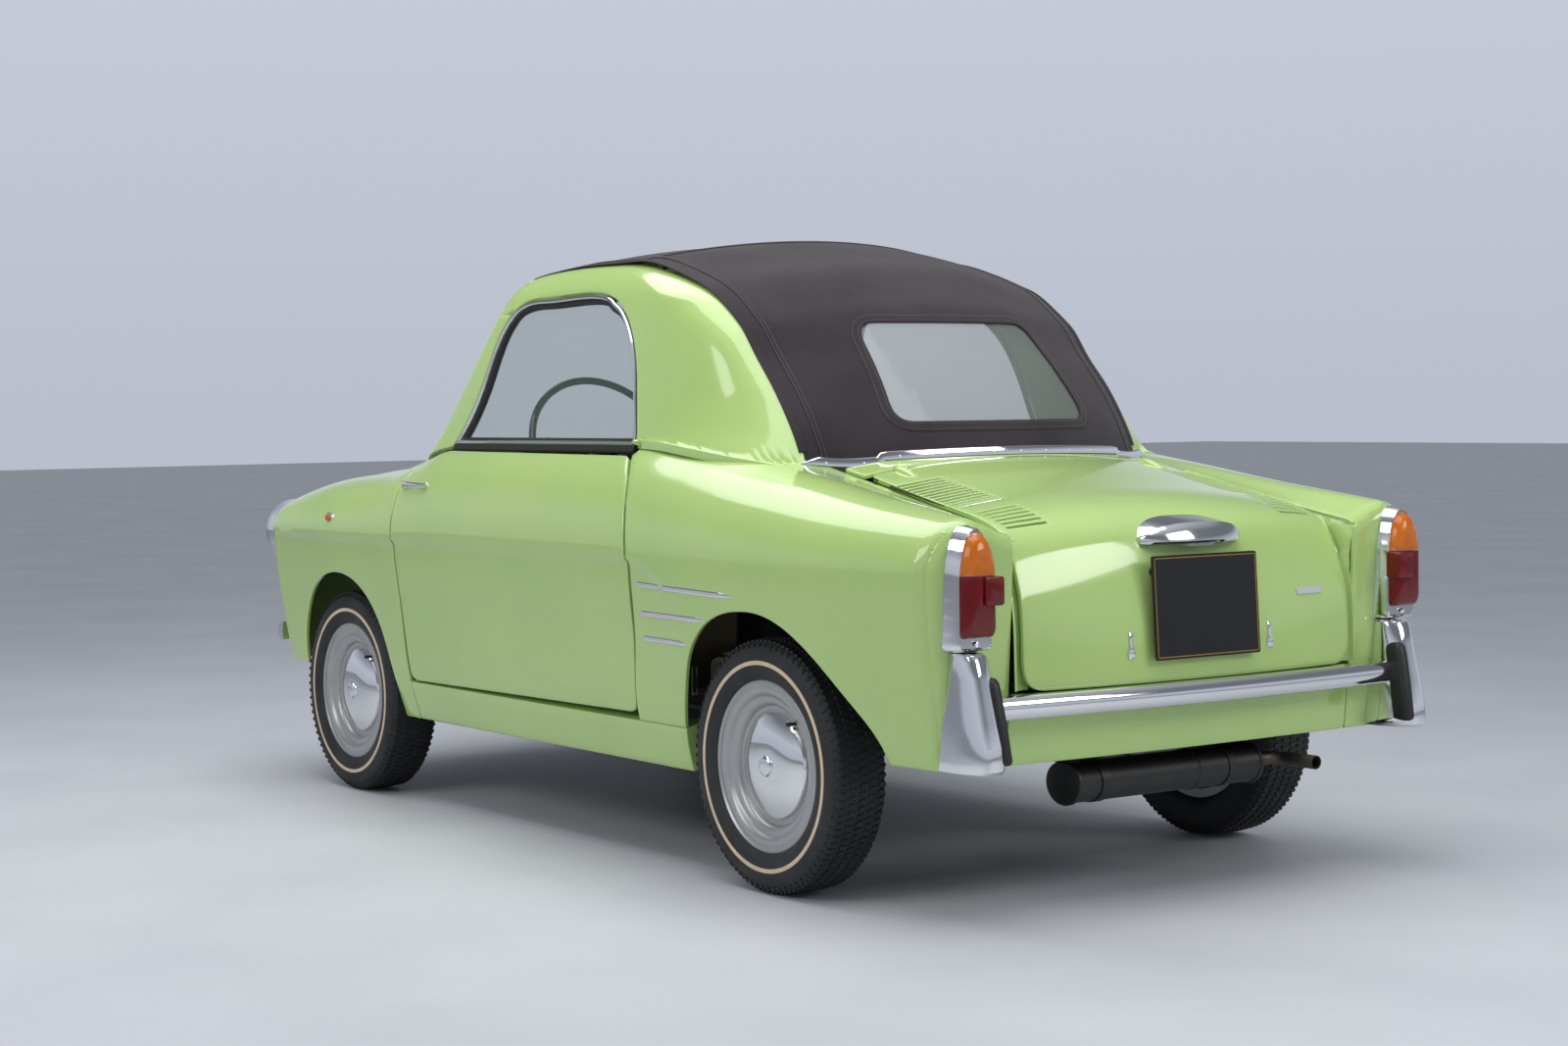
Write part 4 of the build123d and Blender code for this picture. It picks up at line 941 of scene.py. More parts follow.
nose_params = np.stack([nose_xs, nose_girths], 1)
nose_ways = way_on(nose_wall, nose_edge)
nose_soft = edge_frame(full_body, nose_params, True, nose_wall, nose_ways, True, nose_edge)
tail_params = np.stack([tail_xs, tail_girths], 1)
tail_ways = way_on(tail_wall, tail_edge)
tail_soft = edge_frame(full_body, tail_params, True, tail_wall, tail_ways, False, tail_edge)
NOSE_ROUND = 42
TAIL_ROUND = 20


def other_way(edge):
    return edge[0], edge[2], edge[1]


# -------- outlines of the body panels, as (length, girth)
def by_height(points):
    return np.array([(x, girth_at_height(x, z)) for x, z in points])


def by_width(points):
    return np.array([(x, girth_at_width(x, abs(y))) for x, y in points])


front_arch = spaced(smooth_line(WHEEL_ARCH_FRONT, 120), 9)
rear_arch = spaced(smooth_line(WHEEL_ARCH_REAR, 120), 9)
WELL_LEVEL, WELL_INSET = 857, 45
well = cabin_outline(WELL_LEVEL, WELL_INSET)
well_front = well[:int(np.argmax(well[:, 0] > DOOR_FRONT))]

arch_part = front_arch[front_arch[:, 1] >= 212]
front_path = [nose_params[::-1],
              by_height(spaced([(nose_xs[0] + 4, OVERHANG_HEIGHT), (-1221, OVERHANG_HEIGHT)], 9)),
              by_height(arch_part[(arch_part[:, 1] > OVERHANG_HEIGHT) | (arch_part[:, 0] > -900)]),
              by_height(spaced([(-702, 207), (DOOR_FRONT - 1, 207)], 9)),
              by_height(spaced([(DOOR_FRONT, 215), (DOOR_FRONT, 500), (-634, 640), (-640, 790)], 9)),
              np.array([(-636, girth_at_height(-636, 812)), (-630, girth_at_width(-630, 560))]),
              by_width(spaced(well_front[::-1], 9))]
front_right = np.concatenate(front_path)
front_outline = np.concatenate([front_right, (front_right * [1, -1] + [0, 2 * GIRTH])[::-1]])


def tidy_ring(ring, least=2.0):
    """Drops points that nearly repeat the one before."""
    keep = [ring[0]]
    for p in ring[1:]:
        if np.linalg.norm(p - keep[-1]) > least:
            keep.append(p)
    if np.linalg.norm(keep[0] - keep[-1]) < least:
        keep.pop()
    return np.array(keep)


front_outline = tidy_ring(front_outline)


def bonnet_ring(grow):
    """Outline of the bonnet, or grown by the shut gap that of its opening."""
    front, rear = BONNET_FRONT + (0 if grow else SHUT_GAP), BONNET_REAR + grow
    near, far = BONNET_HALF_FRONT + grow, BONNET_HALF_REAR + grow
    corners = [(front, -near), (rear, -far), (rear, far), (front, near)]
    out = []
    for x, y in rounded(corners, 46 + grow, 9):
        girth = girth_at_width(x, abs(y))
        out.append((x, girth if y > 0 else 2 * GIRTH - girth))
    return np.array(out)


front_part = panel_mesh(full_body, front_outline, [bonnet_ring(SHUT_GAP)], step=14, edge=2.6)
front_part = softened_part(front_part, [nose_soft, swap_side(nose_soft)], NOSE_ROUND)
piece("front_wings", front_part, enamel, "car_body", "body_paint", ["front_shell"])
bonnet_part = panel_mesh(full_body, bonnet_ring(0), step=14, thick=10, edge=2.6)
bonnet_part = softened_part(bonnet_part, [nose_soft, swap_side(nose_soft)], NOSE_ROUND)
piece("bonnet_skin", bonnet_part, enamel, "bonnet", "body_paint", ["bonnet"])

nose_right = tidy_ring(np.concatenate([nose_ways[::-1],
    spaced([(nose_ways[0][0] - 3, OVERHANG_HEIGHT), (2, OVERHANG_HEIGHT)], 9)]))
nose_outline = tidy_ring(np.concatenate([nose_right, (nose_right * [-1, 1])[::-1]]))
nose_part = panel_mesh(nose_wall, nose_outline, step=14, edge=2.6)
nose_part = softened_part(nose_part, [other_way(nose_soft), other_way(swap_side(nose_soft))], NOSE_ROUND)
piece("nose_skin", nose_part, enamel, "car_body", "body_paint", ["nose_panel"])


def grown(points, amount, middle):
    points = np.asarray(points, float)
    away = points - middle
    return points + away / np.linalg.norm(away, axis=1)[:, None] * amount


door_ring = grown(DOOR_OUTLINE, -SHUT_GAP, DOOR_MIDDLE)
door_ring = by_height(rounded(door_ring, [26, 26, 30, 60, 60, 40, 22, 14, 14, 16, 40], 9))
door_part = panel_mesh(body, door_ring, step=14, thick=52, edge=2.6)
left_and_right("door_skin", door_part, enamel, "door_{}", "body_paint", "door_{}")

sill_ring = np.concatenate([spaced([(DOOR_FRONT + 0.5, SILL_HEIGHT), (DOOR_FRONT + 0.5, 207)], 9)[:-1],
                            spaced([(DOOR_FRONT + 0.5, 207), (578, 207)], 9)[:-1],
                            spaced([(578, 207), (582, 262), (589, SILL_HEIGHT)], 9)[:-1],
                            spaced([(589, SILL_HEIGHT), (DOOR_FRONT + 0.5, SILL_HEIGHT)], 9)[:-1]])
sill_part = panel_mesh(body, tidy_ring(by_height(sill_ring)), step=14, thick=56, edge=3.5)
left_and_right("sill_skin", sill_part, enamel, "car_body", "body_paint", "sill_{}")

# rear quarter with its fin
door_rear = smooth_line([(413, 299), (413, 312), (436, 470), (443, 640), (428, 735), (393, 810), (352, 850)],
    60)
above_sill = (rear_arch[:, 1] > SILL_HEIGHT) | (rear_arch[:, 0] > 900)
arch_top = rear_arch[(rear_arch[:, 1] > REAR_OVERHANG_HEIGHT) & above_sill]
lid_side = [(1420, tail_inner_width - 1), (975, 412), (806, 410)]
well_rear = well[(well[:, 0] > DOOR_TOP_REAR) & (well[:, 0] < 790)]
rear_path = [by_height(spaced(door_rear[::-1], 9))[:-1],
             by_height(spaced([(413, 299), (588, 299)], 9)),
             by_height(arch_top),
             by_height(spaced([(1236, REAR_OVERHANG_HEIGHT), (tail_xs[0] - 6, REAR_OVERHANG_HEIGHT)], 9)),
             tail_params,
             by_width(spaced(lid_side, 9)),
             np.array([(797, girth_at_width(797, 425))]),
             by_width(spaced(well_rear[::-1], 9)),
             np.array([(DOOR_TOP_REAR, girth_at_width(DOOR_TOP_REAR, 560))])]
rear_outline = tidy_ring(np.concatenate(rear_path))
rear_part = panel_mesh(body, rear_outline, step=14, edge=2.6)
rear_part = softened_part(rear_part, [tail_soft], TAIL_ROUND)
piece("rear_quarters", both_sides(rear_part), enamel, "car_body", "body_paint", ["rear_shell"])

inner_edge = spaced([(443, tail_ways[-1][1]), (443, REAR_OVERHANG_HEIGHT)], 9)
lower_edge = spaced([(443, REAR_OVERHANG_HEIGHT), (tail_ways[0][0] - 3, REAR_OVERHANG_HEIGHT)], 9)
tail_ring = tidy_ring(np.concatenate([tail_ways, inner_edge, lower_edge]))
tail_part = panel_mesh(tail_wall, tail_ring, step=12, edge=2.6, flip=False)
tail_part = softened_part(tail_part, [other_way(tail_soft)], TAIL_ROUND)
piece("tail_skins", both_sides(tail_part), enamel, "car_body", "body_paint", ["tail_panel"])

valance_ring = rounded(box(-440.5, REAR_OVERHANG_HEIGHT, 440.5, LID_BOTTOM - SHUT_GAP), 10, 9)
valance_part = panel_mesh(tail_wall, valance_ring, step=12, edge=2.6, flip=False)
piece("valance_skin", valance_part, enamel, "car_body", "body_paint", ["rear_valance"])


# -------- engine lid
def lid_table():
    middle, side = np.array(LID_MIDDLE, float), np.array(LID_SIDE, float)
    run = run_along(middle)
    ways = np.arange(0, run[-1] + 0.1, 5.0)
    rows = spline_weights(run, ways)
    ys = np.arange(-480, 480.1, 10.0)
    table = np.zeros((len(ys), len(ways), 3))
    for k, y in enumerate(ys):
        points = rows @ (middle + (side - middle) * (y / LID_SIDE_AT) ** 2)
        table[k, :, 0], table[k, :, 1], table[k, :, 2] = points[:, 0], y, points[:, 1]
    return Sheet(ys, ways, table)


lid = lid_table()


def lid_way(y, x=None, z=None):
    """Way down the lid where it reaches this length, or below its bend this height."""
    row = lid(np.stack([np.full(len(lid.vs), y), lid.vs], 1))
    if x is not None:
        return float(np.interp(x, np.maximum.accumulate(row[:, 0]), lid.vs))
    return float(np.interp(-z, -row[:, 2], lid.vs))


def lid_point(y, x=None, z=None):
    """Point of the lid's face at this width and length or height."""
    return lid(np.array([[y, lid_way(y, x, z)]]))[0]


def lid_side_width(x):
    """Half width of the lid, which grows towards its foot."""
    share = (x - LID_FRONT) / (1600 - LID_FRONT)
    return LID_HALF_WIDTH_TOP + share * (LID_HALF_WIDTH_BOTTOM - LID_HALF_WIDTH_TOP)


front_way = lid_way(0, x=LID_FRONT)
bottom_way = lid_way(0, z=LID_BOTTOM)
lid_ring = rounded([(-400, front_way), (400, front_way), (lid_side_width(1400), bottom_way - 120),
    (lid_side_width(1425), lid_way(420, z=LID_BOTTOM)), (0, bottom_way),
    (-lid_side_width(1425), lid_way(420, z=LID_BOTTOM)), (-lid_side_width(1400), bottom_way - 120)],
    [20, 20, 60, 44, 200, 44, 60], 9)
# cooling slots: a long and a short group on each side
slot_ways = [172 + 16.5 * k for k in range(12)] + [417 + 20.5 * k for k in range(6)]
slots = []
for side in (-1, 1):
    for k, way in enumerate(slot_ways):
        near, far = (292, 404) if k < 12 else (302, 394)
        slots.append(rounded(box(side * near, way - 4, side * far, way + 4), 4, 4))
lid_part = panel_mesh(lid, lid_ring, slots, step=13, thick=9, edge=1.4)
piece("engine_lid_skin", lid_part, enamel, "engine_lid", "body_paint", ["engine_lid"])
deck_ring = rounded(box(-408, lid_way(408, x=853), 408, lid_way(408, x=LID_FRONT - SHUT_GAP)), 4, 9)
deck_part = panel_mesh(lid, deck_ring, step=13, edge=2.2)
piece("deck_skin", deck_part, enamel, "car_body", "body_paint", ["deck_panel"])


# -------- things laid out by repetition
def repeat_group():
    """Node group that puts one part on every point, turned by the point's own angles."""
    group = bpy.data.node_groups.new("part_on_every_point", "GeometryNodeTree")
    face = group.interface
    face.new_socket("Geometry", in_out="INPUT", socket_type="NodeSocketGeometry")
    part = face.new_socket("Part", in_out="INPUT", socket_type="NodeSocketObject")
    look = face.new_socket("Material", in_out="INPUT", socket_type="NodeSocketMaterial")
    face.new_socket("Geometry", in_out="OUTPUT", socket_type="NodeSocketGeometry")
    start = node(group, "NodeGroupInput")
    picked = node(group, "GeometryNodeObjectInfo", {}, {"Object": (start, "Part")})
    angles = node(group, "GeometryNodeInputNamedAttribute", {"Name": "turn"}, data_type="FLOAT_VECTOR")
    turned = node(group, "FunctionNodeEulerToRotation", {}, {"Euler": (angles, "Attribute")})
    placed = node(group, "GeometryNodeInstanceOnPoints", {},
        {"Points": (start, "Geometry"), "Instance": (picked, "Geometry"), "Rotation": (turned, "Rotation")})
    real = node(group, "GeometryNodeRealizeInstances", {}, {"Geometry": (placed, "Instances")})
    painted = node(group, "GeometryNodeSetMaterial", {},
        {"Geometry": (real, "Geometry"), "Material": (start, "Material")})
    node(group, "NodeGroupOutput", {}, {"Geometry": (painted, "Geometry")})
    return group, part.identifier, look.identifier


repeater, part_socket, look_socket = repeat_group()


def angles_of(along_way, upwards):
    """Euler angles that lay a part's X along the way and its Z upwards."""
    x = np.asarray(along_way, float)
    x = x / np.linalg.norm(x)
    z = np.asarray(upwards, float) - x * np.dot(upwards, x)
    z /= np.linalg.norm(z)
    return tuple(Matrix(np.stack([x, np.cross(z, x), z], 1).tolist()).to_euler())


def repeated(name, part, places, turns, material):
    """Verts and faces of a part repeated on places, in millimetres, by the node group."""
    source = new_piece(name + "_part", part[0], part[1])
    mesh = bpy.data.meshes.new(name + "_points")
    mesh.from_pydata([tuple(np.asarray(p) * MM) for p in places], [], [])
    layer = mesh.attributes.new("turn", "FLOAT_VECTOR", "POINT")
    layer.data.foreach_set("vector", np.asarray(turns, float).ravel())
    holder = bpy.data.objects.new(name + "_points", mesh)
    bpy.context.scene.collection.objects.link(holder)
    laid = holder.modifiers.new("laid", "NODES")
    laid.node_group = repeater
    laid[part_socket] = source
    laid[look_socket] = material
    ready = holder.evaluated_get(bpy.context.evaluated_depsgraph_get())
    made = bpy.data.meshes.new_from_object(ready)
    holder.modifiers.remove(laid)
    verts = np.array([v.co[:] for v in made.vertices])
    faces = [tuple(f.vertices) for f in made.polygons]
    for extra in (holder, source):
        bpy.data.objects.remove(extra)
    return verts, faces


def moved(part, shift):
    return part[0] + np.asarray(shift, float) * MM, part[1]


def moved_in(sheet, depth):
    """The same sheet a depth further in."""
    inwards = unit(np.cross(np.gradient(sheet.table, axis=0), np.gradient(sheet.table, axis=1)))
    return Sheet(sheet.us, sheet.vs, sheet.table + inwards * depth)


def bar_profile(width, height, soft=1.2):
    """Flat bar with softened corners, standing on the path."""
    w, h = width / 2, height
    return [(-w, 0), (w, 0), (w, h - soft), (w - soft, h), (-w + soft, h), (-w, h - soft)]


def bead(sheet, params, profile, closed=True):
    """Bar laid along a line of a sheet."""
    params = np.asarray(params, float)
    return sweep(sheet(params), normals_on(sheet, params), profile, closed)


# dark sheets just under the cooling slots, painted shade: they make the slots look dark inside
slot_shade_sheet = moved_in(lid, 3.2)
slot_shade_parts = []
for side in (-1, 1):
    for low, high in ((150, 372), (398, 538)):
        slot_shade_parts.append(panel_mesh(slot_shade_sheet, box(side * 282, low, side * 408, high), step=20, thick=2, edge=0))
piece("lid_drain_trays", join_meshes(*slot_shade_parts), painted_shade_enamel, "engine_lid", "chassis_black")

# small covers over the lid's hinges
hinge_parts = []
for side in (-1, 1):
    rings = []
    for t in np.linspace(0, 1, 12):
        x = 905 + 85 * t
        wide = 4 + 9 * math.sin(math.pi * min(t * 1.4, 1.0) * 0.5) * (1 - 0.55 * t)
        high = 13 * math.sin(math.pi * t) ** 0.6 * (1 - 0.5 * t)
        base = lid(np.array([[side * 330, lid_way(330, x=x)]]))[0]
        turn = np.linspace(0, math.pi, 9)
        arc = [(base[0], base[1] + wide * math.cos(a), base[2] - 0.6 + high * math.sin(a)) for a in turn]
        rings.append(arc + [(base[0], base[1], base[2] - 3)])
    hinge_parts.append(stack(rings))
piece("lid_hinge_covers", join_meshes(*hinge_parts), enamel, "engine_lid", "body_paint")


# -------- greenhouse
def roof_sheet(slack=0.0):
    """Roof surface by (width, way back along its middle), sagging between its bows by the slack."""
    reach_back = np.arange(-700, 958, 2.0)
    middle = np.array([along(ROOF_LINE, x) for x in reach_back])
    run = np.concatenate([[0], np.cumsum(np.hypot(np.diff(reach_back), np.diff(middle)))])
    ways = np.arange(0, run[-1], 8.0)
    ys = np.arange(-520, 520.1, 10.0)
    xs, zs = np.interp(ways, run, reach_back), np.interp(ways, run, middle)
    table = np.zeros((len(ys), len(ways), 3))
    for k, y in enumerate(ys):
        table[k, :, 0] = ROOF_CURVE_FROM + (xs - ROOF_CURVE_FROM) / roof_stretch(y)
        table[k, :, 1] = y
        sag = sum(np.sin(np.pi * np.clip((xs - a) / (b - a), 0, 1)) ** 2 for a, b in zip(BOWS, BOWS[1:]))
        waves = 0.5 * np.sin(xs / 23.0 + y / 31.0) * np.clip((xs - 350) / 300, 0, 1)
        waves = waves * np.clip((abs(y) - 230) / 120, 0, 1)
        sag = sag * math.cos(min(abs(y) / 450, 1) * math.pi / 2)
        table[k, :, 2] = zs - roof_drop(y) - slack * sag - slack * 0.5 * waves
    return Sheet(ys, ways, table)


BOWS = (-300, -40, 230, 520, 700, 870)
roof = roof_sheet()
cloth = roof_sheet(3.5)


def roof_way(y, x=None, z=None):
    row = roof(np.stack([np.full(len(roof.vs), float(y)), roof.vs], 1))
    if x is not None:
        return float(np.interp(x, np.maximum.accumulate(row[:, 0]), roof.vs))
    top = int(np.argmax(row[:, 2]))
    return float(np.interp(-z, -row[top:, 2], roof.vs[top:]))


def body_top(x, y):
    return float(body(np.array([[x, girth_at_width(x, abs(y))]]))[0, 2])


def ground(x, y):
    """Top of the body or of the lid below the hood."""
    if x > 852 and abs(y) < 409:
        return float(lid_point(y, x=x)[2])
    return body_top(x, y)


DOOR_TOP = np.array([(-640, 826), (-560, 852), (-478, 864), (-290, 866), (DOOR_TOP_REAR, 866)], float)


def wall_bottom(way):
    z = 850.0
    for _ in range(2):
        x, y, _z = cabin(np.array([[way, z]]))[0]
        z = float(np.interp(x, DOOR_TOP[:, 0],
            DOOR_TOP[:, 1])) if DOOR_FRONT < x < DOOR_TOP_REAR else body_top(x, y) - 1
    return z


def wall_top(way):
    """Height where the cabin wall meets the roof's surface."""
    column = cabin(np.stack([np.full(200, float(way)), np.linspace(830, 1325, 200)], 1))
    over = np.array([p[2] - roof_height(p[0], p[1]) for p in column])
    return crossing(over, column[:, 2])


window_line = smooth_line(WINDOW_OUTLINE, 240)


def on_cabin(points):
    return np.array([(cabin_at(x=x, z=z), z) for x, z in points])


header_way = cabin_at(x=HEADER_END, z=1240)
top_ways = np.linspace(0, header_way, 70)
wall_tops = np.array([(w, wall_top(w)) for w in top_ways])
foot_ways = np.linspace(0, cabin_at(x=-478, z=864), 60)
wall_feet = np.array([(w, wall_bottom(w)) for w in foot_ways])
front_of_window = on_cabin(spaced(window_line[window_line[:, 0] < HEADER_END], 9))
above_window = [(header_way, float(np.interp(HEADER_END, window_line[:140, 0], window_line[:140, 1])))]
frame_right = np.concatenate([wall_feet, front_of_window[1:], above_window, wall_tops[::-1]])
frame_ring = tidy_ring(np.concatenate([frame_right[:-1], (frame_right * [-1, 1])[::-1][:-1]]))
screen_ring = np.array([(math.copysign(cabin_at(y=abs(y), z=z), y), z) for y, z in
                        rounded([(-530, 866), (530, 866), (412, 1222), (-412, 1222)], 58, 9)])
frame_part = panel_mesh(cabin, frame_ring, [screen_ring], step=13, thick=22, edge=2.6)
top_edge = cabin(np.concatenate([(wall_tops * [-1, 1])[:0:-1], wall_tops]))
top_on_cabin = np.concatenate([(wall_tops * [-1, 1])[:0:-1], wall_tops])
top_on_roof = np.array([(p[1], roof_way(p[1], x=p[0])) for p in top_edge])
top_soft = edge_frame(cabin, top_on_cabin, True, roof, top_on_roof, True, top_edge)
frame_part = softened_part(frame_part, [top_soft], 9)
rear_of_header = np.array([(y, roof_way(y, x=HEADER_END))
    for y in np.linspace(top_edge[-1][1], top_edge[0][1], 90)])
header_ring = tidy_ring(np.concatenate([top_on_roof, rear_of_header[1:-1]]))
header_part = panel_mesh(roof, header_ring, step=13, thick=16, edge=2.6)
header_part = softened_part(header_part, [other_way(top_soft)], 9)
piece("windscreen_surround", join_meshes(frame_part, header_part), enamel, "car_body", "body_paint",
    ["windscreen_frame"])

# cabin sides: rail over the window, and the painted quarter behind it
dense_xs = np.arange(-900, 1300, 2.0)
dense_zs = np.array([along(ROOF_LINE, min(x, 958)) for x in dense_xs])
deck_xs = np.arange(300, 960, 20.0)
deck_zs = np.array([body_top(x, 470) for x in deck_xs])
# wall and roof rolled into one sheet: the lower of the two, blended where they meet
wx, wy, wz = np.moveaxis(cabin.table, 2, 0)
over_roof = np.interp(ROOF_CURVE_FROM + (wx - ROOF_CURVE_FROM) * roof_stretch(wy), dense_xs,
    dense_zs) - roof_drop(wy)
blend = np.interp(wx, [-300, 0, 300], [10.5, 16, 42])
share = np.clip(0.5 + 0.5 * (over_roof - wz) / blend, 0, 1)
rolled = over_roof * (1 - share) + wz * share - blend * share * (1 - share)
rolled = np.maximum(rolled, np.where(wx > DOOR_TOP_REAR, np.interp(wx, deck_xs, deck_zs) - 2, 0))
quarter = Sheet(cabin.us, cabin.vs, np.stack([wx, wy, rolled], 2))
QUARTER_IN = 440
rims = []
for way in np.arange(header_way, cabin_end, 1.5):
    column = cabin(np.stack([np.full(240, float(way)), np.linspace(835, 1335, 240)], 1))
    if column[0, 1] < QUARTER_IN or column[0, 0] > 900:
        break
    rims.append((way, crossing(QUARTER_IN - column[:, 1], np.linspace(835, 1335, 240))))
rims = np.array(rims)
rear_feet = np.array([(w, wall_bottom(w)) for w in np.linspace(cabin_at(x=341, z=866), rims[-1][0], 60)])
rims = rims[rims[:, 1] > rear_feet[-1][1] + 1]
over_window = on_cabin(spaced(window_line[window_line[:, 0] > HEADER_END], 9))
side_ring = tidy_ring(np.concatenate([above_window, over_window[:-1], rear_feet, spaced(rims[::-1], 9)]))
side_part = panel_mesh(quarter, side_ring, step=11, thick=18, edge=2.2)
left_and_right("cabin_quarter", side_part, enamel, "car_body", "body_paint", "cabin_side_{}")

# windscreen in its rubber
screen = moved_in(cabin, 9)
screen_part = panel_mesh(screen, inward(screen_ring, -5), step=26, thick=5, edge=0)
piece("windscreen_glass", screen_part, window_glass, "car_body", "glass", ["windscreen"])
piece("windscreen_rubber", bead(moved_in(cabin, 3), spaced(screen_ring, 12, True),
    circle_profile(7.5, 12, 0.75)), seal_rubber, "car_body", "black_plastic")

# door windows: chrome frame, rubber, glass
window_closed = np.concatenate([grown(window_line, -SHUT_GAP, WINDOW_MIDDLE),
    spaced([(331, 871), (-470, 871)], 12)[1:-1]])
window_ring = spaced(on_cabin(window_closed), 9, True)
frame_sheet = moved_in(cabin, 8)
glass_sheet = moved_in(cabin, 13)
chrome_part = bead(frame_sheet, inward(window_ring, 4.5), bar_profile(9, 9, 2.5))
rubber_part = bead(moved_in(cabin, 14), inward(window_ring, 12), circle_profile(6.5, 10, 1.1))
glass_part = panel_mesh(glass_sheet, inward(window_ring, 12), step=26, thick=4, edge=0)
for side in ("right", "left"):
    turned_over = (lambda part: part) if side == "right" else mirror_mesh
    piece(f"window_chrome_{side}", turned_over(chrome_part), chrome, f"door_{side}", "chrome",
        [f"window_frame_{side}"])
    piece(f"window_rubber_{side}", turned_over(rubber_part), seal_rubber, f"door_{side}", "black_plastic")
    piece(f"window_glass_{side}", turned_over(glass_part), window_glass, f"door_{side}", "glass",
        [f"door_glass_{side}"])


# -------- folding hood
HOOD_HALF = 443.7


def hood_end(y):
    """Way back where the hood comes down on the body."""
    row = cloth(np.stack([np.full(len(roof.vs), float(y)), roof.vs], 1))
    start = int(np.argmax(row[:, 0] > 600))
    over = np.array([ground(p[0], p[1]) - 1 - p[2] if p[0] < 935 else 50 for p in row[start:]])
    return crossing(over, roof.vs[start:])


hood_front = np.array([(y, roof_way(y, x=HEADER_END + 1)) for y in np.linspace(-HOOD_HALF, HOOD_HALF, 91)])
side_xs = np.linspace(HEADER_END + 1, 780, 110)
hood_side = np.array([(HOOD_HALF, roof_way(HOOD_HALF, x=x)) for x in side_xs])
hood_rear = np.array([(y, hood_end(y)) for y in np.linspace(HOOD_HALF, -HOOD_HALF, 90)])
hood_side = hood_side[hood_side[:, 1] < hood_rear[0][1] - 4]
hood_ring = tidy_ring(np.concatenate([hood_front, hood_side[1:], hood_rear, (hood_side * [-1, 1])[:0:-1]]))
pane = rounded([(-225, 1122), (225, 1122), (255, 915), (-255, 915)], 40, 9)
pane_ring = np.array([(y, roof_way(y, z=z)) for y, z in pane])
outer_cloth = moved_in(cloth, -1.0)
hood_part = panel_mesh(cloth, hood_ring, [pane_ring], step=13, thick=2.6, edge=0.8)
hood_cloth = piece("hood_canvas", hood_part, canvas, "car_body", "fabric", ["fabric_roof"])

# bindings, seams and the stitched border of the pane
binding_line = np.concatenate([hood_side[::-1], hood_front[::-1][1:-1], hood_side * [-1, 1]])
seam_ys = np.linspace(-440, 440, 90)
seam_lines = [np.array([(y, roof_way(y, x=150 + 90 * math.cos(y / 440 * math.pi / 2))) for y in seam_ys])]
for side in (-1, 1):
    seam_lines.append(np.array([(side * (HOOD_HALF - 36), roof_way(HOOD_HALF - 36, x=x))
        for x in np.linspace(-290, 800, 110)]))
band_part = panel_mesh(outer_cloth, inward(pane_ring, -24), [pane_ring], step=12, thick=1.6, edge=0.6)
seam_parts = [bead(cloth, spaced(line, 12), bar_profile(13, 1.9, 0.7), closed=False) for line in seam_lines]
edge_part = bead(cloth, spaced(binding_line, 12), bar_profile(15, 2.6, 1.0), closed=False)
hood_trim = piece("hood_seams_and_bindings", join_meshes(band_part, edge_part, *seam_parts), canvas, "car_body",
    "fabric")
# twisted sewing thread: dull brown, paler than the canvas
thread = shader("brown_sewing_thread", "6A5C60", 0.8, {"Sheen Weight": 0.3}, ("noise", 1500.0, 0.1, 0.3),
    ("564A4E", 60.0, 0.7))
stitch = sweep([(-2.1, 0, 0.2), (-1.3, 0, 0.75), (1.3, 0, 0.75), (2.1, 0, 0.2)], (0, 0, 1),
    circle_profile(0.55, 6))


def stitch_row(line, lift, closed=False):
    line = spaced(np.asarray(line, float), 6.5, closed)
    base = cloth(line)
    up = normals_on(cloth, line)
    ahead = np.roll(base, -1, axis=0) - base
    if not closed:
        ahead[-1] = ahead[-2]
    return list(base + up * lift), [angles_of(a, u) for a, u in zip(ahead, up)]


stitch_places, stitch_turns = [], []
for line, lift, closed in ([(inward(pane_ring, -6), 1.0, True), (inward(pane_ring, -19), 1.0, True)] +
                           [(line + [0, shift], 1.8, False) for line in seam_lines[:1] for shift in (-4, 4)] +
                           [(line + [shift, 0], 1.8, False) for line in seam_lines[1:] for shift in (-4, 4)]):
    places, turns = stitch_row(line, lift, closed)
    stitch_places += places
    stitch_turns += turns
hood_stitches = piece("hood_stitches", repeated("hood_stitches", stitch, stitch_places, stitch_turns, thread),
    thread, "car_body", "fabric", settled=False)
pane_part = panel_mesh(moved_in(cloth, 3.2), inward(pane_ring, -9), step=14, thick=1.2, edge=0)
hood_pane = piece("hood_window_sheet", pane_part, soft_window, "car_body", "clear_sheet", ["rear_window"])

# bows under the hood
bow_parts = []
for x in BOWS[1:4]:
    ys = np.linspace(-432, 432, 41)
    params = np.array([(y, roof_way(y, x=x)) for y in ys])
    bow_parts.append(bead(moved_in(cloth, 11), params, circle_profile(7, 10), closed=False))
piece("hood_bows", join_meshes(*bow_parts), black_enamel, "car_body", "chassis_black")

# polished strip round the foot of the hood
strip_radius = arc_radius(466, 129)
strip_front = 904 - strip_radius
STRIP_HALF = 462


def strip_x(y):
    """Length of the hood's curved foot at a width."""
    return strip_front + math.sqrt(strip_radius ** 2 - y * y)


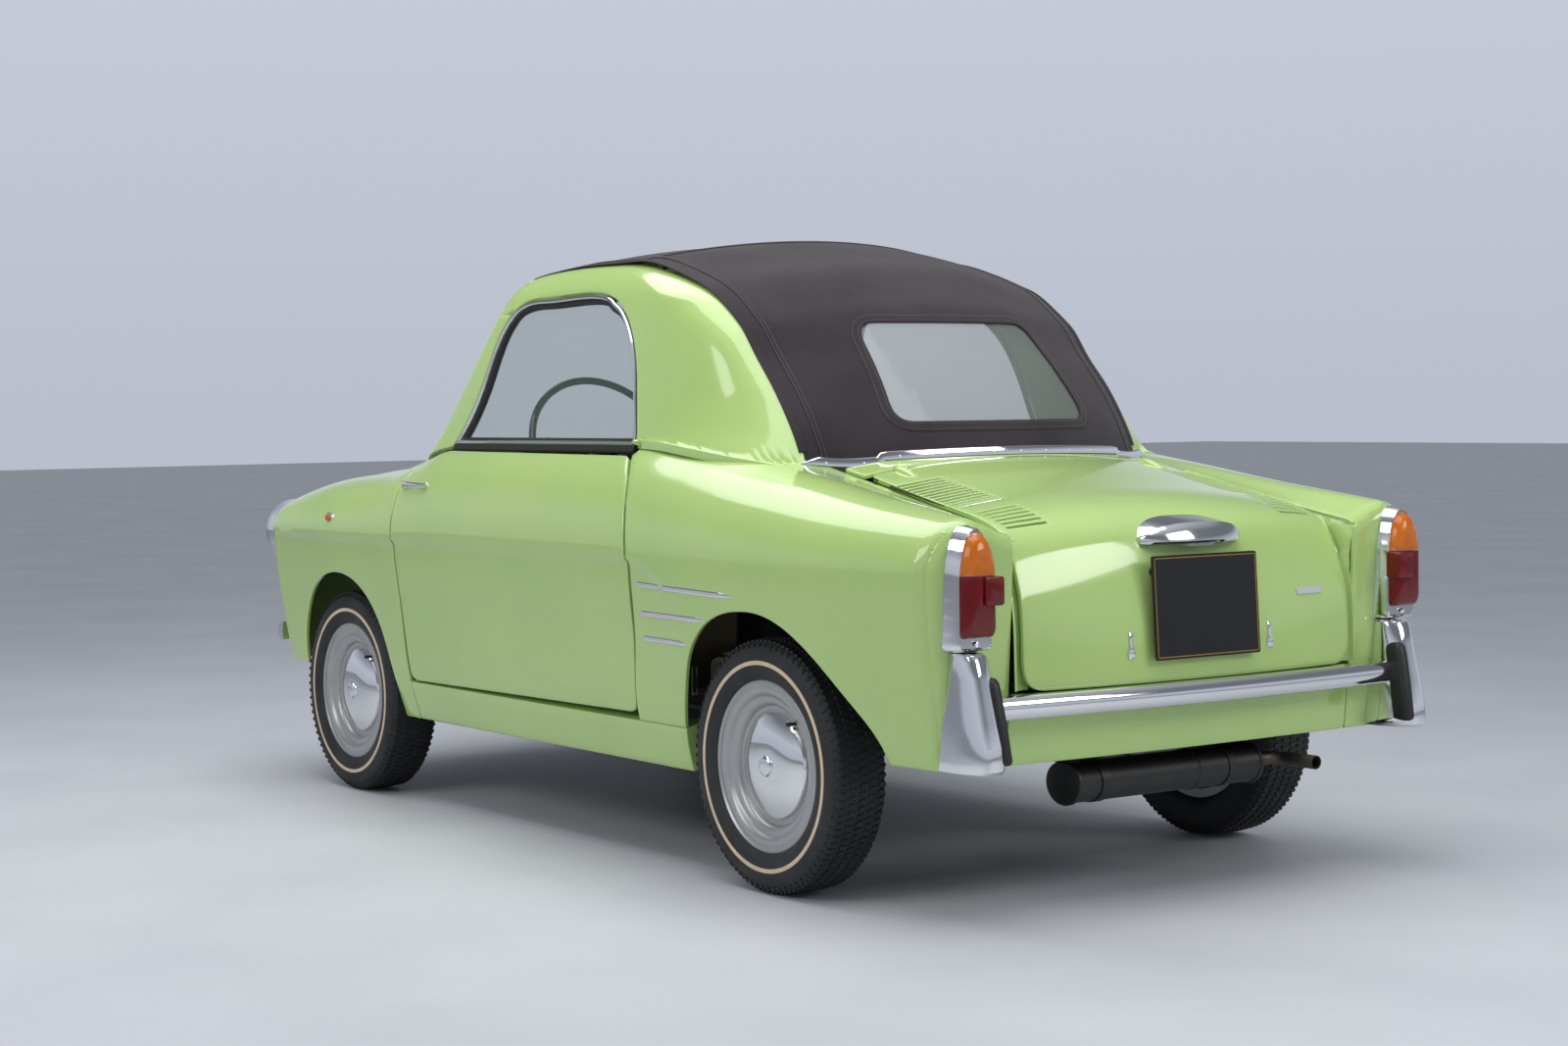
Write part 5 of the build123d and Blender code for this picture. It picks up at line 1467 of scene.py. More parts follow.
strip_path = []
for y in np.linspace(-STRIP_HALF, STRIP_HALF, 121):
    x = strip_x(y) + 2
    strip_path.append((x, y, ground(x, y) + 0.3))
strip_path = np.array(strip_path)
strip_profile = [(-5.5, 0), (5.5, 0), (5.0, 9), (3.0, 15), (0, 16.5), (-3.0, 15), (-5.0, 9)]
strip_verts, strip_faces = sweep(strip_path, (0, 0, 1), strip_profile)
taper = np.clip((STRIP_HALF - np.abs(strip_verts[:, 1] / MM)) / 30, 0.12, 1)
ring_base = np.repeat(strip_path, len(strip_profile), axis=0) * MM
strip_verts = ring_base + (strip_verts - ring_base) * taper[:, None]
piece("chrome_base_strip", (strip_verts, strip_faces), chrome, "car_body", "chrome", ["roof_trim"])
stud = lathe((0, 0, 0), 1, [(0, 0.01), (0, 2.6), (0.8, 2.2), (1.3, 1.2), (1.5, 0.01)], 14)
stud_turns, stud_places = [], []
for y in np.linspace(-420, 420, 13):
    x = strip_x(y) + 7.2
    out = np.array([1, y / strip_radius, 0])
    stud_places.append((x, y, ground(x, y) + 7))
    stud_turns.append(angles_of(np.cross(out, (0, 0, 1)), (0, 0, 1)))
piece("base_strip_studs", repeated("base_strip_studs", stud, stud_places, stud_turns, chrome), chrome,
    "car_body", "chrome", settled=False)


def shell_grid(grid, thick):
    """Closed thin shell over a grid of points, thickened away from the grid's own face."""
    grid = np.asarray(grid, float)
    n, m = grid.shape[:2]
    out = np.cross(np.gradient(grid, axis=0), np.gradient(grid, axis=1))
    out = unit(out)
    verts = np.concatenate([grid.reshape(-1, 3), (grid - out * thick).reshape(-1, 3)])
    faces = []
    for i in range(n - 1):
        for k in range(m - 1):
            a, b, c, d = i * m + k, (i + 1) * m + k, (i + 1) * m + k + 1, i * m + k + 1
            faces += [(a, b, c, d), (a + n * m, d + n * m, c + n * m, b + n * m)]
    rim = [(0, k) for k in range(m)] + [(i, m - 1) for i in range(1, n)]
    rim += [(n - 1, k) for k in range(m - 2, -1, -1)] + [(i, 0) for i in range(n - 2, 0, -1)]
    index = [i * m + k for i, k in rim]
    for p, q in zip(index, index[1:] + index[:1]):
        faces.append((p, q, q + n * m, p + n * m))
    return verts * MM, faces


def facing_back(outline, count, place):
    """A turned part whose axis points to the rear, at its place."""
    v, f = lathe((0, 0, 0), 1, outline, count)
    return moved((np.stack([v[:, 1], v[:, 0], v[:, 2]], 1) * [1, -1, 1], f), place)


# gutter round the engine lid: closes the step between the lid's edge and the fins
GUTTER_REAR = ([190, 300, 480, 720, 900], [1363, 1378, 1393, 1406, 1410])
gutter_rows = []
for way in np.linspace(lid_way(436, x=935), lid_way(436, z=LID_BOTTOM + 2), 90):
    at = np.array([[436.0, way]])
    place, up = lid(at)[0], normals_on(lid, at)[0]
    high = 0.0
    for h in np.arange(0, 90, 1.5):
        p = place + up * h
        if p[2] < body_top(min(p[0], 1478), 442) and p[0] < float(np.interp(p[2], *GUTTER_REAR)) + 1:
            high = h
    gutter_rows.append([place + up * (high - 1.5) + [0, 5, 0], place + up * high * 0.5 + [0, 3, 0],
        place - up * 10 + [0, 1, 0], place - up * 15 - [0, 8, 0], place - up * 15 - [0, 34, 0]])
gutter = shell_grid(gutter_rows, 1.6)
piece("lid_gutters", both_sides(gutter), enamel, "car_body", "body_paint", angle=50)

# door waist seals, under the windows
waist = np.array([(cabin_at(x=x, z=864), 864.0) for x in np.arange(-470, 341, 12)])
waist_part = bead(moved_in(cabin, 12), waist, [(-9, 0), (9, 0), (9, 9), (6, 12), (-6, 12), (-9, 9)],
    closed=False)
left_and_right("door_waist_seal", waist_part, seal_rubber, "door_{}", "black_plastic")

# -------- wheels
TYRE_PROFILE = [(-43.5, 153.5), (-46, 160), (-48.5, 166), (-55, 170), (-60, 178), (-62.6, 190), (-63.6, 202),
    (-63.4, 214), (-61.8, 226), (-58.5, 235), (-54, 241), (-50, 243.6), (-40, 245.4), (-20, 246.6), (0, 247),
    (20, 246.6), (40, 245.4), (50, 243.6), (54, 241), (58.5, 235), (61.8, 226), (63.0, 217), (63.2, 214.5),
    (63.2, 211.5), (63.0, 206.6), (63.4, 197.8), (62.9, 196.5), (61.6, 188), (60.8, 185), (60.8, 183.6),
    (59.8, 182.6), (58, 176), (55, 170), (48.5, 166), (46, 160), (43.5, 153.5)]
STRIPE_PROFILE = [(62.4, 206.8), (63.95, 206.3), (64.0, 202), (64.0, 198.5), (62.8, 197.9)]
RIM_PROFILE = [(49.6, 166.6), (46.5, 166.4), (44.5, 162), (43.6, 154.6), (46.2, 151.6), (46.6, 149.6),
    (44, 147.2), (40.5, 145.2), (37, 140.5), (35.6, 135), (34.6, 130.6), (31, 127.2), (26, 124.6), (22.6, 120),
    (21.6, 114), (22.2, 106), (23, 98), (26, 92), (20, 60), (12, 46), (10, 14.2), (22, 14.2), (29, 46),
    (31.2, 60), (34, 92), (28.6, 100), (26.8, 108), (26.8, 113), (29.4, 117.4), (34.4, 119.6), (38.6, 123.4),
    (40.4, 128.4), (41.6, 134), (43.8, 137.4), (47, 139.6), (50, 143.6), (52.6, 149.4), (52.6, 155),
    (50.6, 160), (50.6, 163.6), (53.6, 167.4), (52.4, 169)]
BARREL_PROFILE = [(-49.8, 166.6), (-49.8, 148), (-18, 132.5), (21, 132.5), (43, 147.5), (43.5, 151.8),
    (20, 137), (-16, 137), (-44, 152.6), (-46.5, 166.4)]
CAP_PROFILE = [(34, 92), (27.4, 104.6), (30.6, 105), (34.6, 102.6), (36.4, 99), (37.6, 96), (40.8, 88),
    (45.6, 74), (49.2, 58), (51.2, 42), (52.0, 30), (52.2, 21), (53.6, 19.4), (56.8, 18), (58.6, 15),
    (59.2, 10), (59.4, 0.01), (44, 0.01), (38, 60)]
LUG_OUTLINE = [(-7.2, -4.0), (-2, -4.4), (2, -3.4), (7.2, -4.0), (7.2, 4.0), (2, 4.4), (-2, 3.4), (-7.2, 4.0)]
lug = stack([[(x * long, y * wide, z) for x, y in LUG_OUTLINE]
             for z, long, wide in ((-2.0, 1.0, 1.0), (2.3, 1.0, 1.0), (2.95, 0.92, 0.86))])
TREAD_LANES = ((-44, 244.6, 0.22), (-22, 246.4, 0.0), (0, 246.9, 0.0), (22, 246.4, 0.0), (44, 244.6, -0.22))
LANE_LUGS = 104
SHOULDER_LUGS = 78
TYRE_LIMIT = 249.9
for corner, (wheel_x, wheel_y) in WHEELS.items():
    out = 1 if wheel_y > 0 else -1
    centre = (wheel_x, wheel_y, TYRE_RADIUS)
    wheel_body = f"wheel_{corner}"
    carcass = lathe(centre, out, TYRE_PROFILE, 144)
    places, turns = [], []
    for lane, (across, radius, tilt) in enumerate(TREAD_LANES):
        odd = lane % 2
        slant = 0.18 if odd else -0.18
        for k in range(LANE_LUGS):
            angle = 2 * math.pi * (k + 0.5 * odd) / LANE_LUGS
            ahead, high = math.cos(angle), math.sin(angle)
            places.append((wheel_x + radius * ahead, wheel_y + out * across, TYRE_RADIUS + radius * high))
            turns.append(angles_of((slant * high, 1, -slant * ahead), (ahead, -math.sin(tilt) * out, high)))
    tread = repeated(f"tread_{corner}", lug, places, turns, tyre_rubber)
    shoulders, shoulder_turns = [], []
    for side in (-1, 1):
        for k in range(SHOULDER_LUGS):
            angle = 2 * math.pi * k / SHOULDER_LUGS
            ahead, high = math.cos(angle), math.sin(angle)
            shoulders.append((wheel_x + 237.6 * ahead, wheel_y + side * 56.6, TYRE_RADIUS + 237.6 * high))
            shoulder_turns.append(angles_of((-0.55 * ahead, side * 0.8, -0.55 * high),
                (ahead, side * 0.7, high)))
    lugs = repeated(f"shoulder_{corner}", (lug[0] * [0.75, 0.9, 0.55], lug[1]), shoulders, shoulder_turns,
        tyre_rubber)
    tyre_part = join_meshes(carcass, tread, lugs)
    # no lug stands above the ground
    hub = np.array([wheel_x, TYRE_RADIUS]) * MM
    from_hub = tyre_part[0][:, [0, 2]] - hub
    radius = np.hypot(from_hub[:, 0], from_hub[:, 1])
    keep_in = np.minimum(1, TYRE_LIMIT * MM / np.maximum(radius, 1e-6))
    tyre_part[0][:, [0, 2]] = hub + from_hub * keep_in[:, None]
    piece(f"tyre_with_tread_{corner}", tyre_part, tyre_rubber, wheel_body, "tyre", [f"tyre_{corner}"],
        settled=False)
    piece(f"side_stripe_{corner}", lathe(centre, out, STRIPE_PROFILE, 144), stripe_rubber, wheel_body, "tyre")
    disc = join_meshes(lathe(centre, out, RIM_PROFILE, 128), lathe(centre, out, BARREL_PROFILE, 128))
    piece(f"wheel_disc_{corner}", disc, rim_enamel, wheel_body, "rim_paint", [f"rim_{corner}"], angle=35)
    cap = [(a, max(r, 0.4)) for a, r in CAP_PROFILE]
    piece(f"hubcap_{corner}", lathe(centre, out, cap, 128), chrome, wheel_body, "chrome", angle=28)
    stem = lathe((wheel_x + 112 * math.cos(0.9), wheel_y, TYRE_RADIUS + 112 * math.sin(0.9)), out,
                   [(24, 0.3), (24, 3.6), (40, 3.2), (41, 4.3), (50, 4.1), (51.4, 3), (51.6, 0.3)], 16)
    piece(f"valve_{corner}", stem, seal_rubber, wheel_body, "tyre")

# -------- tail lamps
def tail_x(y, z):
    """Length of the tail wall at this width and height."""
    row = tail_wall.table[tail_wall.us >= 0][:, plan_level(z)]
    flat = row[:, 1] < 610
    return float(np.interp(abs(y), row[flat][:, 1], row[flat][:, 0]))


def lamp_outline(low, high, half, ogive, foot=12):
    """Lamp seen from behind: flat foot with small corners, sides, and a pointed round top."""
    points = []
    for a in np.linspace(-math.pi / 2, 0, 6):
        points.append((half - foot + foot * math.cos(a), low + foot + foot * math.sin(a)))
    shoulder = high - ogive
    for z in np.linspace(low + foot, shoulder, 8)[1:]:
        points.append((half, z))
    for a in np.linspace(0, math.pi / 2, 14)[1:]:
        points.append((half * math.cos(a) ** 0.85 if a < math.pi / 2 - 1e-6 else 0.0,
            shoulder + ogive * math.sin(a)))
    points += [(-y, z) for y, z in points[-2::-1]]
    return spaced(np.array(points), 6, closed=True)


def lamp_ring(outline, x, grow=0.0):
    """The outline at the lengths that the function x gives for a width and height."""
    ring = inward(outline, -grow) if grow else outline
    return [(x(p[0], p[1]), p[0], p[1]) for p in ring]


def clip_height(ring, low, high):
    return [(x, y, min(max(z, low), high)) for x, y, z in ring]


LAMP_Y = 551
bezel_line = lamp_outline(505, 733, 42, 96)
lens_line = lamp_outline(532, 719, 36, 86, foot=8)


def wall_fit(gap, least=0):
    """Length a gap behind the tail wall, but never less than the least."""
    return lambda y, z: max(tail_x(LAMP_Y + y, z) + gap, least)


bezel_rings = [lamp_ring(bezel_line, wall_fit(gap, least), grow) for gap, least, grow in
               ((-6, 0, 0), (3, 0, 0), (6, 0, -1.6), (12, 1433, -4), (17, 1438, -7.0), (15, 1436, -9.4))]
lens_rings = []
for x, share in ((1428, 1), (1440, 1), (1448, 0.97), (1454, 0.9), (1458.5, 0.79), (1461.5, 0.64), (1463, 0.44),
        (1463.8, 0.2)):
    lens_rings.append([(x, p[0] * share, 632 + (p[1] - 632) * share) for p in lens_line])
SPLIT = 645
amber = stack([clip_height(ring, SPLIT + 0.7, 999) for ring in lens_rings])
red = stack([clip_height(ring, 0, SPLIT - 0.7) for ring in lens_rings])
REFLECTOR_Y, REFLECTOR_Z = -20, 617
reflector_line = rounded(box(-21, REFLECTOR_Z - 26, 21, REFLECTOR_Z + 26), 5, 4)
REFLECTOR_STEPS = ((1436, 1.0), (1467, 1.0), (1469.5, 0.97), (1470.4, 0.9))
reflector = stack([[(x, REFLECTOR_Y + y * grow, REFLECTOR_Z + (z - REFLECTOR_Z) * grow)
    for y, z in reflector_line] for x, grow in REFLECTOR_STEPS])


def lamp_pair(*parts):
    """Parts drawn about a lamp's own middle, in both tail lamps."""
    return both_sides(moved(join_meshes(*parts), (0, LAMP_Y, 0)))


piece("lamp_bezels", lamp_pair(stack(bezel_rings)), chrome, "car_body", "chrome", ["tail_lamp_bezels"],
    angle=38)
piece("lamp_amber_domes", lamp_pair(amber), amber_lens, "car_body", "amber", ["tail_lamp_amber"], angle=60)
piece("lamp_red_domes", lamp_pair(red, reflector), red_lens, "car_body", "red", ["tail_lamp_red"], angle=60)

screw = lathe((0, 0, 0), 1, [(-2, 0.2), (-2, 5), (0.2, 5), (1.8, 4.2), (2.4, 2.4), (1.0, 0.9), (0.9, 0.2)], 20)
screw = (np.stack([screw[0][:, 1], screw[0][:, 0], -screw[0][:, 2]], 1), screw[1])
screw_places = [(1440.2, side * LAMP_Y, 522) for side in (-1, 1)]
screws = repeated("lamp_screws", screw, screw_places, [(0.0, 0.0, 0.0)] * 2, chrome)
piece("lamp_screws", screws, chrome, "car_body", "chrome")

# -------- rear bumper: bar, corner overriders, rubbers
bar_radius = arc_radius(512, 26)
bar_path = np.array([(1438 + math.sqrt(bar_radius ** 2 - y * y) - (bar_radius - 26), y, 401)
                     for y in np.linspace(-512, 512, 81)])
bar_section = [(-12, -22), (-8, -23), (2, -20), (9, -12), (12, 0), (9, 12), (2, 20), (-8, 23), (-12, 22),
    (-9, 0)]
bumper_bar = sweep(bar_path, (0, 0, 1), bar_section)
# height, wall length, face length, half width, lean
OVERRIDER = [(292, 1394, 1484, 50, 0.25), (297, 1394, 1490, 51, 0.25), (310, 1394, 1492, 50, 0.25),
    (340, 1396, 1488, 48, 0.3), (380, 1398, 1478, 45, 0.34), (420, 1400, 1468, 42, 0.4),
    (460, 1402, 1458, 39.5, 0.45), (490, 1404, 1450, 38, 0.5), (500, 1406, 1444, 37, 0.5),
    (504, 1410, 1436, 33, 0.5)]
over_rings = []
for z, x_wall, x_face, half, lean in OVERRIDER:
    wall = min(tail_x(LAMP_Y, z) - 4, x_wall)
    face = []
    for t in np.linspace(-1, 1, 25):
        y = t * half * (1 if t < 0 else 0.74)
        bulge = 1 - abs(t) ** 3.4
        face.append((wall + (x_face - wall) * (0.42 + 0.58 * bulge) + 4 * lean * t, LAMP_Y + y, z))
    back = [(wall, LAMP_Y + half * 0.74, z), (wall, LAMP_Y - half, z)]
    over_rings.append(face + back)
over_part = stack(over_rings)
RUBBER_AT = 0.62
RUBBER_OUTLINE = ((-26, -12), (-2, -13), (6, -11), (11, -6), (12, 0), (12, 6), (9, 11), (2, 14), (-26, 14))
rubber_rings = []
for z, grow in ((306, 0.5), (309, 0.85), (314, 1), (380, 1), (440, 1), (452, 0.9), (459, 0.6), (461, 0.25)):
    column = [float(np.interp(z, [r[0] for r in OVERRIDER], [r[k] for r in OVERRIDER])) for k in (1, 2, 3)]
    face = column[0] + (column[1] - column[0]) * (0.42 + 0.58 * (1 - RUBBER_AT ** 3.4))
    y = LAMP_Y - RUBBER_AT * column[2]
    rubber_rings.append([(face + a * (grow if a > 0 else 1), y + b * grow, z) for a, b in RUBBER_OUTLINE])
over_rubber = stack(rubber_rings)
piece("bumper_bar_and_overriders", join_meshes(bumper_bar, over_part, mirror_mesh(over_part)), chrome,
    "car_body", "chrome", ["rear_bumper"], angle=32)
piece("overrider_rubbers", both_sides(over_rubber), seal_rubber, "car_body", "black_plastic", angle=50)

# front bumper, plain bar on two irons
front_radius = arc_radius(600, 70)
front_path = np.array([(-1440 - math.sqrt(front_radius ** 2 - y * y) + (front_radius - 70) + 12.5, y, 370)
                       for y in np.linspace(-598, 598, 81)])
front_bar = sweep(front_path[::-1], (0, 0, 1), [(a, b * 1.05) for a, b in bar_section])
irons = [stack([[(a, b, z) for a, b in box(-1493, y - 14, -1414, y + 14)] for z in (357, 383)])
    for y in (-330, 330)]
piece("front_bumper_bar", join_meshes(front_bar, *irons), chrome, "car_body", "chrome", ["front_bumper"],
    angle=32)

# headlamps: chrome rim, reflector bowl and glass
HEADLAMP_RIM = [(-44, 84), (52, 84), (58, 81), (62, 76), (63, 72), (60, 69), (54, 68.5), (50, 70), (-40, 74)]
HEADLAMP_BOWL = [(54, 70), (40, 62), (22, 44), (10, 22), (6, 0.4), (2, 0.4), (6, 24), (18, 48), (36, 66),
    (50, 72)]
HEADLAMP_GLASS = [(56, 70.5), (59, 60), (62.6, 40), (64.8, 20), (65.4, 0.4), (61.4, 0.4), (60.6, 20),
    (58.4, 40), (55, 60), (52, 70.5)]


def headlamp_pair(outline):
    """A turned part that faces forwards, in both headlamps."""
    v, f = lathe((0, 0, 0), 1, outline, 72)
    v = np.stack([-v[:, 1], v[:, 0], v[:, 2]], 1)
    return join_meshes(*[moved((v, f), (-1430, side * 525, 632)) for side in (-1, 1)])


# pressed lens: clear, with upright ribs that blur what is behind it
lamp_glass = glassy("ribbed_headlamp_glass", "DADFE0", 0.35, 0.05, ("Y", 60.0, 0.8, 0.5))
piece("headlamp_rims", headlamp_pair(HEADLAMP_RIM), chrome, "car_body", "lamp_chrome", ["headlamps"], angle=35)
piece("headlamp_bowls", headlamp_pair(HEADLAMP_BOWL), chrome, "car_body", "lamp_chrome", angle=60)
piece("headlamp_glasses", headlamp_pair(HEADLAMP_GLASS), lamp_glass, "car_body", "glass", angle=60)

# -------- on the engine lid
hood_rings = []
for t in np.linspace(-1, 1, 41):
    y = 127 * t
    rise = (1 - abs(t) ** 2.6) ** 0.5 if abs(t) < 1 else 0.0
    rise = max(rise, 0.12)
    high, low = lid_point(y, z=700 + 30 * rise)[0], lid_point(y, z=684)[0]
    deep = 46 * rise
    hood_rings.append([(low - 5, y, 684), (low + deep * 0.9, y, 682), (low + deep * 1.0, y, 686),
                       (low + deep * 0.98, y, 690), (low + deep * 0.86, y, 690 + 20 * rise),
                       (low + deep * 0.62, y, 690 + 31 * rise), (high + deep * 0.25, y, 692 + 39 * rise),
                       (high - 6, y, 694 + 39 * rise)])
piece("plate_lamp_hood", stack(hood_rings), chrome, "engine_lid", "chrome", ["plate_lamp"], angle=30)
lamp_lens = stack([[(x, y, z) for y, z in rounded(box(-34, 676, 34, 684), 3, 3)] for x in (1416, 1438)])
piece("plate_lamp_lens", lamp_lens, lamp_glass, "engine_lid", "glass")


def plate_point(y, z, out):
    lean = (663 - z) / 197
    return (1420 + 12 * lean + out, y, z)


plate_line = rounded(box(-135, 466, 135, 661), 4, 5)
plate_part = stack([[plate_point(y, z, out) for y, z in inward(plate_line, cut)]
    for out, cut in ((22, 0), (25.5, 0), (26.5, 0.8))])
piece("blank_plate", plate_part, plate_enamel, "engine_lid", "black_plastic", angle=30)
gilt_path = [plate_point(y, z, 26.5) for y, z in spaced(inward(plate_line, 5), 8, True)]
gilt = sweep(gilt_path, (1, 0, 0), box(-0.9, 0, 0.9, 0.5), closed=True)
piece("blank_plate_border", gilt, gilt_line, "engine_lid", "black_plastic")
stays = []
for y, z in ((-110, 500), (110, 500), (-110, 630), (110, 630)):
    base = lid_point(y, z=z)[0]
    long = plate_point(y, z, 22)[0] - base + 0.5
    stays.append(facing_back([(-4, 0.3), (-4, 7), (long, 6), (long, 0.3)], 16, (base, y, z)))
piece("blank_plate_stays", join_meshes(*stays), seal_rubber, "engine_lid", "black_plastic")
clips = []
for side in (-1, 1):
    y = side * 180
    rings = []
    for z, half, out in ((470, 3, 1), (473, 7, 4), (480, 9, 6), (487, 7.5, 6), (491, 4.5, 5), (500, 4.2, 4.5),
            (516, 4.6, 4.5), (521, 3, 2)):
        base = lid_point(y, z=z)[0]
        rings.append([(base - 2, y - half, z), (base + out * 0.7, y - half * 0.9, z), (base + out, y, z),
                      (base + out * 0.7, y + half * 0.9, z), (base - 2, y + half, z)])
    clips.append(stack(rings))
piece("lid_clips", join_meshes(*clips), chrome, "engine_lid", "chrome", angle=40)
badge_line = rounded(box(268, 569, 342, 581), 5, 4)
badge = stack([[(lid_point(y, z=z)[0] + out, y, z) for y, z in badge_line] for out in (-1, 2.2)])
piece("blank_badge_bar", badge, chrome, "engine_lid", "chrome", angle=30)


# -------- side trim
def side_point(x, z, out=0.0):
    at = np.array([[x, girth_at_height(x, z)]])
    return body(at)[0] + normals_on(body, at)[0] * out


def spear(x_front, z_front, x_rear, z_rear, thick=6.2):
    """Half-round strip along the side that tapers to both its ends."""
    rings = []
    for t in np.linspace(0, 1, 40):
        x, z = x_front + (x_rear - x_front) * t, z_front + (z_rear - z_front) * t
        grow = min(1.0, (1 - t) * 6 + 0.25) * min(1.0, t * 14 + 0.2)
        at = side_point(x, z)
        turn = np.linspace(0, math.pi, 7)
        rings.append([(at[0], at[1] - 1 + (thick * 0.55) * grow * math.sin(a),
            at[2] + thick * grow * math.cos(a)) for a in turn]
            + [(at[0], at[1] - 3, at[2] - thick * grow * 0.8), (at[0], at[1] - 3, at[2] + thick * grow * 0.8)])
    return stack(rings)


spears = join_meshes(*[spear(*ends) for ends in ((455, 588, 833, 580), (462, 528, 722, 527),
    (466, 476, 645, 475))])
piece("side_spears", both_sides(spears), chrome, "car_body", "chrome", angle=50)

HANDLE_Z = 773


def upright_disc(x, y, radius):
    """Circle at the door handle's height, facing sideways."""
    return [(x + radius * math.cos(a), y, HANDLE_Z + radius * math.sin(a)) for a in whole_turn(16)]


handle_rings = []
for t in np.linspace(0, 1, 21):
    x = -612 + 140 * t
    at = side_point(x, HANDLE_Z)
    lift = 8 + 4.8 * math.sin(math.pi * min(t * 1.05, 1))
    half = 9.0 - 4.0 * t
    handle_rings.append([(x, at[1] + lift + 3.4 * math.cos(a), HANDLE_Z + half * math.sin(a))
        for a in whole_turn(12)])
feet = []
for x in (-598, -490):
    y = side_point(x, HANDLE_Z)[1]
    feet.append(stack([upright_disc(x, y + out, radius)
        for out, radius in ((-3, 8), (2, 8), (3, 4.5), (12, 4.5))]))
handle = join_meshes(stack(handle_rings), *feet)
left_and_right("door_handle", handle, chrome, "door_{}", "chrome", angle=45)

REPEATER_CURVE = 0.0016


def oval(half_x, half_z, out):
    """Oval outline of the side repeater, this far out from the wing and curved with it."""
    at = side_point(-977, 685)
    points = [(half_x * math.cos(a), half_z * math.sin(a)) for a in whole_turn(32)]
    return [(at[0] + x, at[1] + out - REPEATER_CURVE * x ** 2, at[2] + z) for x, z in points]


rim = stack([oval(21, 13, -4), oval(21, 13, 2), oval(19, 11, 4), oval(17, 9, 4)])
dome = stack([oval(17, 9, 2), oval(17, 9, 5), oval(15, 7.6, 7), oval(10, 5, 8), oval(3, 2, 8.3)])
piece("repeater_rims", both_sides(rim), chrome, "car_body", "chrome", angle=35)
piece("repeater_lenses", both_sides(dome), amber_lens, "car_body", "amber", angle=60)

# -------- seats: stuffed pads, sewn channels, tube frames
def pad_form(side_line, y_low, y_high, crown=0.0):
    """Closed form from a side outline (x, z), pulled in towards its two ends like a sewn cover."""
    side_line = spaced(rounded(side_line, 18, 6), 10, closed=True)
    middle = side_line.mean(axis=0)
    rings = []
    half, centre = (y_high - y_low) / 2, (y_high + y_low) / 2
    for t in np.concatenate([[-1, -0.99, -0.96], np.linspace(-0.9, 0.9, 19), [0.96, 0.99, 1]]):
        share = (1 - max(0.0, abs(t) - 0.86) ** 2 * 14) * (1 + crown * (1 - t * t))
        rings.append([(middle[0] + (x - middle[0]) * share, centre + half * t,
            middle[1] + (z - middle[1]) * share) for x, z in side_line])
    return stack(rings)


def stuffed(part, voxel, swell):
    """The form swollen under its own stuffing: remeshed, blown up as cloth, and held to a swelling in mm."""
    form = new_piece("pad_form", part[0], part[1], [seat_cloth])
    settle(form, 0.0001)
    grid = form.modifiers.new("grid", "REMESH")
    grid.mode, grid.voxel_size = "VOXEL", voxel * MM
    mesh = bpy.data.meshes.new_from_object(form.evaluated_get(bpy.context.evaluated_depsgraph_get()))
    form.modifiers.clear()
    form.data = mesh
    start = np.array([v.co for v in mesh.vertices])
    cover = form.modifiers.new("cover", "CLOTH")
    cover.settings.use_pressure = True
    cover.settings.uniform_pressure_force = 4
    cover.settings.effector_weights.gravity = 0
    cover.point_cache.frame_start, cover.point_cache.frame_end = 1, 20
    for frame_number in range(1, 21):
        bpy.context.scene.frame_set(frame_number)
    blown = form.evaluated_get(bpy.context.evaluated_depsgraph_get()).to_mesh()
    move = np.array([v.co for v in blown.vertices]) - start
    far = np.linalg.norm(move, axis=1)[:, None]
    start = start + move * np.minimum(1, swell * MM / np.maximum(far, 1e-9))
    form.modifiers.clear()
    bpy.context.scene.frame_set(1)
    faces = [tuple(p.vertices) for p in mesh.polygons]
    bpy.data.objects.remove(form)
    return start, faces


def sewn(part, lines, depth=5, width=9.0):
    """Sewn channels pressed in along a pad; each line is a place across the car, in mm."""
    v = part[0].copy()
    middle = v.mean(axis=0)
    for line in lines:
        press = np.exp(-((v[:, 1] / MM - line) / width) ** 2) * depth * MM
        way_in = v - middle
        way_in[:, 1] = 0
        way_in = unit(way_in)
        v -= way_in * press[:, None]
    return v, part[1]


def piping(part, y):
    """Cord sewn round one side of a pad, following the pad's own edge."""
    v = part[0] / MM
    near = v[np.abs(v[:, 1] - y) < 5]
    middle = near.mean(axis=0)
    angle = np.arctan2(near[:, 2] - middle[2], near[:, 0] - middle[0])
    path = []
    for a in np.linspace(-math.pi, math.pi, 72, endpoint=False):
        chosen = near[np.abs((angle - a + math.pi) % (2 * math.pi) - math.pi) < 0.09]
        reach_out = np.hypot(chosen[:, 0] - middle[0], chosen[:, 2] - middle[2]).max() if len(chosen) else 0
        path.append((middle[0] + reach_out * math.cos(a), y, middle[2] + reach_out * math.sin(a)))
    path = np.array([p for p in path if math.hypot(p[0] - middle[0], p[2] - middle[2]) > 5])
    return sweep(path, (0, 1, 0), circle_profile(3.2, 8), closed=True)


